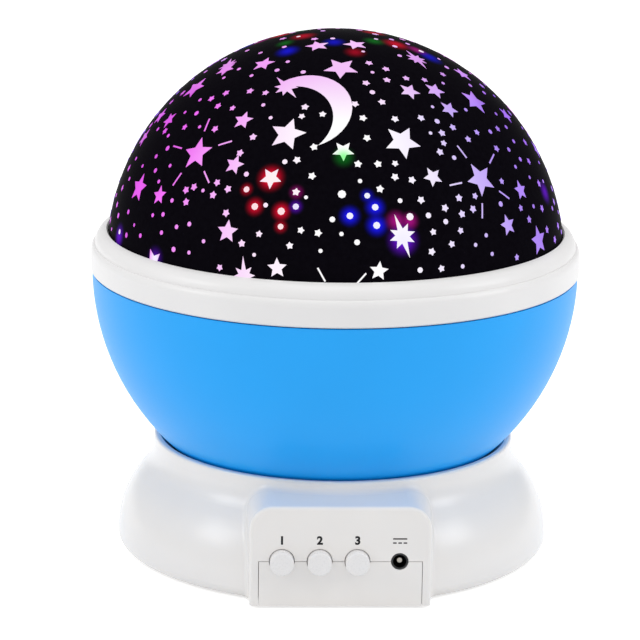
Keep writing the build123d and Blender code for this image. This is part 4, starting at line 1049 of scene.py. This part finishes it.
@dataclass
class StarDome:
    """Dome in clear plastic, printed black outside but for its star, moon and dot windows."""

    shape: DomeShape
    proud: float = 0.05 * MM
    sunk: float = 0.10 * MM
    dot_spacing: float = 4.2 * MM
    dot_small: float = 0.95 * MM
    dot_large: float = 1.5 * MM
    star_small: float = 1.8 * MM
    star_large: float = 2.15 * MM
    star_share: float = 0.35
    clear_margin: float = 2.0 * MM
    most_per_area: float = 90000.0
    seed: int = 11
    dot_seed: int = 3
    star_seed: int = 4
    turn_seed: int = 5

    def build(self) -> None:
        """Dresses the dome and makes its windows."""
        dress(["star_dome"], BlackPrint("black_screen_print", self.shape).build())
        light = LitWindows("clear_polystyrene_windows", self.shape).build()
        new_piece("star_windows", self.windows(light), "globe")

    def outlines(
        self,
        small_waist: float = 0.62,
        star_waist: float = 0.47,
        burst: tuple[float, float, float] = (0.5, 0.30, 0.16),
        core: Point = (0.22, 0.45),
        ray: Point = (0.31, 0.50),
        ray_half: float = 0.010,
    ) -> dict[Cut, Outline]:
        """Draws each window's flat outline, one unit across.

        Args:
            small_waist: waist of a small star, as a share of its tips' radius.
            star_waist: waist of a star, likewise.
            burst: radii of a burst's long tips, short tips and waists.
            core: tips' radius and waist of the star that rays stand round.
            ray: radii where a ray starts and ends.
            ray_half: half of a ray's width.

        Returns:
            The outlines.
        """
        shapes = {cut: Outline() for cut in Cut}
        shapes[Cut.DOT].fan([polar(0.5, 45 * i) for i in range(8)])
        shapes[Cut.SMALL_STAR].fan(star_rim(5, 0.5, small_waist))
        shapes[Cut.STAR].fan(star_rim(5, 0.5, star_waist))
        long, short, waist = burst
        # every fourth tip is long
        rim = [waist if i % 2 else (short if i % 8 else long) for i in range(16)]
        shapes[Cut.BURST].fan([polar(radius, 22.5 * i) for i, radius in enumerate(rim)])
        shapes[Cut.RAYED].fan(star_rim(5, *core))
        for way in range(0, 360, 72):
            x, y = polar(ray_half, way + 90)
            (start_x, start_y), (end_x, end_y) = (polar(radius, way) for radius in ray)
            dash = [(start_x - x, start_y - y), (end_x - x, end_y - y)]
            dash += [(end_x + x, end_y + y), (start_x + x, start_y + y)]
            shapes[Cut.RAYED].fan(dash, polar(sum(ray) / 2, way))
        shapes[Cut.CRESCENT].strip(*self.crescent())
        return shapes

    @staticmethod
    def crescent(
        steps: int = 20,
        full: float = 0.5,
        bite: float = 0.472,
        shift: float = 0.214,
        blunt: float = 29.0,
        short: float = 7.0,
    ) -> tuple[list[Point], list[Point]]:
        """Draws a moon that opens to the left, with a blunt upper horn where a burst covers it.

        Args:
            steps: sides along each line.
            full: the moon's radius.
            bite: radius of the circle that is cut away.
            shift: how far its centre lies from the moon's.
            blunt: degrees that the upper horn stops short.
            short: degrees that the lower horn stops short.

        Returns:
            The outer and the inner line, upwards.
        """
        meet = (bite**2 - full**2 - shift**2) / (2 * shift)
        horn = math.degrees(math.acos(meet / full))
        reach = math.degrees(math.atan2(full * math.sin(math.radians(horn)), meet + shift))
        right, left = [], []
        for i in range(steps + 1):
            outer = math.radians(-horn + short + (2 * horn - blunt - short) * i / steps)
            inner = math.radians(-reach + (2 * reach - blunt) * i / steps)
            right.append((full * math.cos(outer), full * math.sin(outer)))
            left.append((bite * math.cos(inner) - shift, bite * math.sin(inner)))
        return right, left

    def main_points(self, step: float = 17.0) -> Mesh:
        """Finds the main windows' centres on the front, and repeats them half a turn round.

        Args:
            step: degrees that each small star is turned on from the last.

        Returns:
            A mesh of points, each with its window's size, turn and outline.
        """
        small = (
            Window(Cut.SMALL_STAR, column, row, self.star_large / MM, step * number)
            for number, (column, row) in enumerate(SMALL_STARS)
        )
        main = (Window(cut, *row) for cut, rows in MAIN_WINDOWS.items() for row in rows)
        windows = (*main, *small)
        places = [self.shape.point(w.column, w.row) for w in windows]
        half_turn = Matrix.Rotation(math.pi, 3, "Z")
        mesh = new_mesh("main_windows", places + [half_turn @ p for p in places])
        for name, kind, values in (
            ("size", "FLOAT", [w.size_mm * MM for w in windows]),
            ("turn", "FLOAT", [math.radians(w.turn) for w in windows]),
            ("cut", "INT", [w.cut.value for w in windows]),
        ):
            mesh.attributes.new(name, kind, "POINT").data.foreach_set("value", values * 2)
        return mesh

    def sheet(
        self, rows: int = 24, columns: int = 72, ring_gap: float = 1.2, crown_gap: float = 3.0
    ) -> Mesh:
        """Makes the sheet that small windows are scattered on.

        Args:
            rows: faces from the ring to the crown.
            columns: faces round the dome.
            ring_gap: degrees that stay bare above the ring.
            crown_gap: degrees that stay bare round the crown.

        Returns:
            The open mesh, on the dome's outer face.
        """
        shape = self.shape
        low = math.degrees(math.asin((shape.seat - shape.height) / shape.radius)) + ring_gap
        grid, faces = [], []
        for row in range(rows + 1):
            up = math.radians(low + (90 - crown_gap - low) * row / rows)
            level, rise = shape.radius * math.cos(up), shape.height + shape.radius * math.sin(up)
            for column in range(columns):
                turn = 2 * math.pi * column / columns
                grid.append((level * math.cos(turn), level * math.sin(turn), rise))
        for first in range(0, rows * columns, columns):
            for a, b in zip(range(columns), [*range(1, columns), 0]):
                faces.append((first + a, first + b, first + columns + b, first + columns + a))
        return new_mesh("dome_sheet", grid, faces)

    def tree(self, cuts: Mapping[Cut, Object], values: Mapping) -> NodeTree:
        """Builds the node group that lays every window on the dome.

        Args:
            cuts: an object for each outline.
            values: the group's inputs.

        Returns:
            The node group. The main windows' points go in, and the finished windows come out.
        """
        tree, add, given = node_group("lay_windows", "Points", values, "Windows")
        centre = add("CombineXYZ", {"Z": given["height"]})
        shapes = {}
        for cut, holder in cuts.items():
            flat = add("ObjectInfo", {"Object": holder}).outputs["Geometry"]
            # small outlines lie flat on the dome, larger ones need corners between to follow it
            finer = 0 if cut in (Cut.DOT, Cut.SMALL_STAR) else 1
            shapes[cut] = add("SubdivideMesh", {"Mesh": flat, "Level": finer})
        points = add("MeshToPoints", {"Mesh": given["Points"]})
        main = self.laid(add, points, shapes, centre)
        small = self.laid(add, self.scattered(add, given, main), shapes, centre)
        both = add("JoinGeometry", {"Geometry": [main, small]})
        bent = add("SetPosition", {"Geometry": both, "Position": self.lifted(add, given, centre)})
        finish = {"Geometry": bent, "Material": given["finish"]}
        add("GroupOutput", {"Windows": add("SetMaterial", finish)})
        return tree

    @staticmethod
    def scattered(add: Adder, given: Mapping, main: Node) -> Node:
        """Adds the nodes that scatter small windows, clear of the main ones.

        Args:
            add: adds a node to the group.
            given: the group's inputs.
            main: the main windows.

        Returns:
            Points with a size, a turn and the number of their outline.
        """
        spread = {
            "Mesh": add("ObjectInfo", {"Object": given["sheet"]}).outputs["Geometry"],
            "Distance Min": given["dot_spacing"],
            "Density Max": given["most_per_area"],
            "Seed": given["seed"],
        }
        points = add("DistributePointsOnFaces", spread, distribute_method="POISSON")
        nearest = add("Proximity", {"Geometry": main}, target_element="FACES")
        gap = {0: nearest.outputs["Distance"], 1: given["clear_margin"]}
        close = add("Compare", gap, data_type="FLOAT", operation="LESS_THAN")
        points = add("DeleteGeometry", {"Geometry": points, "Selection": close}, domain="POINT")
        chance = {"Probability": given["star_share"], "Seed": given["seed"]}
        is_star = add("RandomValue", chance, data_type="BOOLEAN")
        sizes = []
        for kind in ("dot", "star"):
            limits = {2: given[kind + "_small"], 3: given[kind + "_large"]}
            limits["Seed"] = given[kind + "_seed"]
            sizes.append(add("RandomValue", limits, data_type="FLOAT"))
        choice = {"Switch": is_star, "False": sizes[0], "True": sizes[1]}
        size = add("Switch", choice, input_type="FLOAT")
        limits = {2: 0.0, 3: 2 * math.pi, "Seed": given["turn_seed"]}
        turn = add("RandomValue", limits, data_type="FLOAT")
        kept = (("size", "FLOAT", size), ("turn", "FLOAT", turn), ("cut", "INT", is_star))
        for name, kind, value in kept:
            store = {"Geometry": points, "Name": name, "Value": value}
            points = add("StoreNamedAttribute", store, data_type=kind, domain="POINT")
        return points

    @staticmethod
    def laid(add: Adder, points: Node, shapes: Mapping[Cut, Node], centre: Node) -> Node:
        """Adds the nodes that stand an outline upright on the dome at each point, then turn it.

        Args:
            add: adds a node to the group.
            points: points with a size, a turn and the number of their outline.
            shapes: each outline's flat mesh.
            centre: the dome's centre.

        Returns:
            The outlines as one real mesh, still flat.
        """
        place = add("InputPosition")
        outward = add("VectorMath", {0: place, 1: centre}, operation="SUBTRACT")
        axes = {"Primary Axis": outward, "Secondary Axis": UP}
        upright = add("AxesToRotation", axes, primary_axis="Z", secondary_axis="Y")
        turn, size, which = (
            add("InputNamedAttribute", {"Name": name}, data_type=kind)
            for name, kind in (("turn", "FLOAT"), ("size", "FLOAT"), ("cut", "INT"))
        )
        spin = add("AxisAngleToRotation", {"Axis": UP, "Angle": turn})
        turned = add("RotateRotation", {"Rotation": upright, "Rotate By": spin}, rotation_space="LOCAL")
        stood = []
        for cut, shape in shapes.items():
            chosen = add("Compare", {2: which, 3: cut.value}, data_type="INT", operation="EQUAL")
            stamp = {"Points": points, "Selection": chosen, "Instance": shape}
            stamp |= {"Rotation": turned, "Scale": size}
            stood.append(add("InstanceOnPoints", stamp))
        return add("RealizeInstances", {"Geometry": add("JoinGeometry", {"Geometry": stood})})

    @staticmethod
    def lifted(add: Adder, given: Mapping, centre: Node) -> Node:
        """Adds the nodes that bend the flat shapes to the dome and part their two skins.

        Args:
            add: adds a node to the group.
            given: the group's inputs.
            centre: the dome's centre.

        Returns:
            The node that gives each point's place.
        """
        top = add("InputNamedAttribute", {"Name": "top"}, data_type="FLOAT")
        inner = add("Math", {0: given["radius"], 1: given["sunk"]}, operation="SUBTRACT")
        outer = add("Math", {0: given["radius"], 1: given["proud"]}, operation="ADD")
        skin = add("MapRange", {"Value": top, "To Min": inner, "To Max": outer})
        place = add("InputPosition")
        outward = add("VectorMath", {0: place, 1: centre}, operation="SUBTRACT")
        way = add("VectorMath", {0: outward}, operation="NORMALIZE")
        reach = add("VectorMath", {0: way, "Scale": skin}, operation="SCALE")
        return add("VectorMath", {0: reach, 1: centre}, operation="ADD")

    def windows(self, material: Material) -> Mesh:
        """Makes all windows as one mesh.

        Args:
            material: their finish.

        Returns:
            The mesh, in place on the dome.
        """
        cuts = {}
        for cut, outline in self.outlines().items():
            name = "cut_" + cut.name.lower()
            cuts[cut] = add_object(name, outline.closed_mesh(name))
        values = {f.name: getattr(self, f.name) for f in fields(self) if f.name != "shape"}
        values |= {"radius": self.shape.radius, "height": self.shape.height, "finish": material}
        values["sheet"] = add_object("dome_sheet", self.sheet())
        mesh = run_nodes(self.tree(cuts, values), self.main_points(), values)
        for holder in (*cuts.values(), values["sheet"]):
            bpy.data.objects.remove(holder)
        return mesh


# ------------------------------------------------------------------ control panel
@dataclass
class ControlPanel:
    """Front panel with three push buttons, a DC socket and the small printed marks above them."""

    mark_height: float = 18.3 * MM
    digit_height: float = 2.1 * MM
    digit_share: float = 0.7
    digit_steps: int = 6
    ink_proud: float = 0.03 * MM
    ink_sunk: float = 0.04 * MM
    stroke: float = 0.24 * MM
    weld: float = 0.001 * MM
    supply_width: float = 3.6 * MM
    supply_bar: float = 0.34 * MM
    supply_gap: float = 0.55 * MM
    buttons: tuple[str, ...] = ("light_button_cap", "colour_button_cap", "turn_button_cap")

    def build(self, finishes: Mapping[str, Material]) -> None:
        """Dresses the buttons and the socket, and prints the marks.

        Args:
            finishes: the shared finishes by slot.
        """
        dress(self.buttons, finishes["button_white"])
        dress([b.replace("_cap", "_plunger") for b in self.buttons], finishes["bearing_nylon"])
        dress(["dc_jack", "switch_bodies", "board_parts"], finishes["black_plastic"])
        dress(["dc_jack_pin"], finishes["contact_nickel"])
        marks = {f"mark_{i}": (b, self.digit(str(i))) for i, b in enumerate(self.buttons, 1)}
        marks["mark_supply"] = ("dc_jack", self.supply_mark())
        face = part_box("base_plate")[0].y - self.ink_proud
        upright = Matrix.Rotation(math.radians(90), 4, "X")
        for name, (below, mesh) in marks.items():
            low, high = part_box(below)
            place = Vector(((low.x + high.x) / 2, face, self.mark_height))
            mesh.transform(Matrix.Translation(place) @ upright)
            mesh.materials.append(finishes["legend_ink"])
            new_piece(name, mesh, "base")

    def digit(self, text: str) -> Mesh:
        """Makes one printed digit.

        Args:
            text: the digit.

        Returns:
            The closed mesh, flat, with its face up at nought.
        """
        curve = bpy.data.curves.new("digit", "FONT")
        curve.body = text
        curve.align_x = "CENTER"
        curve.align_y = "CENTER"
        curve.size = self.digit_height / self.digit_share
        curve.offset = self.stroke / 2
        curve.extrude = (self.ink_proud + self.ink_sunk) / 2
        curve.resolution_u = self.digit_steps
        holder = add_object("digit", curve)
        graph = bpy.context.evaluated_depsgraph_get()
        mesh = bpy.data.meshes.new_from_object(holder.evaluated_get(graph))
        bpy.data.objects.remove(holder)
        # a letter's faces and sides come apart from each other; welded, they close the digit
        closed = bmesh.new()
        closed.from_mesh(mesh)
        bmesh.ops.remove_doubles(closed, verts=closed.verts, dist=self.weld)
        bmesh.ops.translate(closed, verts=closed.verts, vec=-curve.extrude * UP)
        closed.to_mesh(mesh)
        closed.free()
        return mesh

    def supply_mark(self) -> Mesh:
        """Makes the usual sign for direct current, a line over three dashes.

        Returns:
            The closed mesh, flat, with its face up at nought.
        """
        dash = self.supply_width / 4
        bars = [(0.0, self.supply_gap, self.supply_width)]
        bars += [(x, -self.supply_gap, dash) for x in (-1.5 * dash, 0.0, 1.5 * dash)]
        depth = self.ink_proud + self.ink_sunk
        sign = bmesh.new()
        for x, y, width in bars:
            size = Vector((width, self.supply_bar, depth))
            place = Matrix.LocRotScale(Vector((x, y, -depth / 2)), None, size)
            bmesh.ops.create_cube(sign, size=1.0, matrix=place)
        mesh = new_mesh("supply_mark", [])
        sign.to_mesh(mesh)
        sign.free()
        return mesh


# ------------------------------------------------------------------ screws
@dataclass
class CrossHeadScrews:
    """Screws that show under the base, each with a cross slot cut into its head by Geometry Nodes."""

    node: str = "base_screws"
    body: str = "base"
    slot: str = "screw_steel"
    span: float = 3.0 * MM
    arm: float = 0.75 * MM
    depth: float = 0.9 * MM
    weld: float = 0.001 * MM
    foot: float = 0.01 * MM
    seed: int = 4

    def build(self, finish: Material) -> None:
        """Makes the slotted screws and puts them in the place of the plain ones.

        Args:
            finish: their plating.
        """
        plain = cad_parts[self.node].data.copy()
        values = {name: getattr(self, name) for name in ("span", "arm", "depth", "weld", "seed")}
        values |= {"screws": add_object("plain_screws", plain), "finish": finish}
        mesh = run_nodes(self.tree(values), self.heads(plain), values)
        bpy.data.objects.remove(values["screws"])
        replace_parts(new_piece("cross_head_screws", mesh, self.body), self.node)

    def heads(self, screws: Mesh) -> Mesh:
        """Finds the middle of each head's face.

        Args:
            screws: the plain screws, one in each quarter of the base.

        Returns:
            A mesh with one point for each head.
        """
        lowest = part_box(self.node)[0].z + self.foot
        rims: dict[tuple[bool, bool], list[Vector]] = {}
        for vertex in screws.vertices:
            if vertex.co.z < lowest:
                rims.setdefault((vertex.co.x > 0, vertex.co.y > 0), []).append(vertex.co)
        middles = [[(min(axis) + max(axis)) / 2 for axis in zip(*rim)] for rim in rims.values()]
        return new_mesh("screw_heads", middles)

    @staticmethod
    def tree(values: Mapping) -> NodeTree:
        """Builds the node group that cuts the slots.

        Args:
            values: the group's inputs.

        Returns:
            The node group. The heads' middles go in, and the slotted screws come out.
        """
        tree, add, given = node_group("cut_cross_slots", "Heads", values, "Slotted")
        # the bars lie half in the head and half below it
        height = add("Math", {0: given["depth"], 1: 2.0}, operation="MULTIPLY")
        bars = []
        for across, along in (("span", "arm"), ("arm", "span")):
            size = add("CombineXYZ", {"X": given[across], "Y": given[along], "Z": height})
            bars.append(add("MeshCube", {"Size": size}))
        cross = add("JoinGeometry", {"Geometry": bars})
        # no two screws end up turned alike
        turns = {0: (0.0, 0.0, 0.0), 1: (0.0, 0.0, 2 * math.pi), "Seed": given["seed"]}
        turn = add("RandomValue", turns, data_type="FLOAT_VECTOR")
        points = add("MeshToPoints", {"Mesh": given["Heads"]})
        stamp = {"Points": points, "Instance": cross, "Rotation": turn}
        crosses = add("InstanceOnPoints", stamp)
        cutters = add("RealizeInstances", {"Geometry": crosses})
        plain = add("ObjectInfo", {"Object": given["screws"]}).outputs["Geometry"]
        joined = add("MergeByDistance", {"Geometry": plain, "Distance": given["weld"]})
        cut = {"Mesh 1": joined, "Mesh 2": cutters, "Self Intersection": True}
        slotted = add("MeshBoolean", cut, operation="DIFFERENCE", solver="EXACT")
        flat = add("SetShadeSmooth", {"Geometry": slotted, "Shade Smooth": False})
        real = add("RealizeInstances", {"Geometry": flat})
        finish = {"Geometry": real, "Material": given["finish"]}
        add("GroupOutput", {"Slotted": add("SetMaterial", finish)})
        return tree


# ------------------------------------------------------------------ housing and works
@dataclass
class Housing:
    """White base, its plate and battery door, the blue bowl and the white ring."""

    base: tuple[str, ...] = ("base_shell", "base_plate", "battery_door")

    def build(self, finishes: Mapping[str, Material]) -> None:
        """Dresses the housing.

        Args:
            finishes: the shared finishes by slot.
        """
        dress(self.base, finishes["base_white"])
        dress(["trim_ring"], finishes["white_shell"])
        dress(["bowl_shell"], finishes["blue_shell"])
        dress(["rubber_feet"], finishes["foot_rubber"])


@dataclass
class Works:
    """What the housing covers: cells, contacts, boards, lamps, lamp post, drive and screws."""

    screws: tuple[str, ...] = ("base", "ring", "gear", "post", "board", "gearbox")
    parts: tuple[tuple[str, tuple[str, ...]], ...] = (
        ("cell_wrap", ("aaa_cells",)),
        ("contact_nickel", ("contact_plates", "contact_springs", "motor_can")),
        ("post_plastic", ("lamp_post",)),
        ("bearing_nylon", ("thrust_washer", "hub_bush", "globe_gear", "drive_pinion")),
        ("circuit_board", ("led_board", "control_board")),
        ("lamp_white", ("white_leds",)),
        ("lamp_red", ("red_led",)),
        ("lamp_green", ("green_led",)),
        ("lamp_blue", ("blue_led",)),
        ("gearbox_plastic", ("gearbox_case",)),
        ("screw_steel", ("retaining_clip", "output_shaft")),
    )

    def build(self, finishes: Mapping[str, Material]) -> None:
        """Dresses the works and cuts the slots of the screws that show.

        Args:
            finishes: the shared finishes by slot.
        """
        for slot, nodes in self.parts:
            dress(nodes, finishes[slot])
        dress([name + "_screws" for name in self.screws], finishes["screw_steel"])
        CrossHeadScrews().build(finishes["screw_steel"])


def write_sizes() -> None:
    """Brings the view layer up to date."""
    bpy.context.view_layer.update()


def main() -> None:
    """Builds the view, the studio and every sub-assembly."""
    view = FrontView()
    view.build()
    Studio().build()
    finishes = shared_finishes()
    Housing().build(finishes)
    ControlPanel().build(finishes)
    Works().build(finishes)
    StarDome(DomeShape(view)).build()
    write_sizes()


if __name__ == "__main__":
    main()
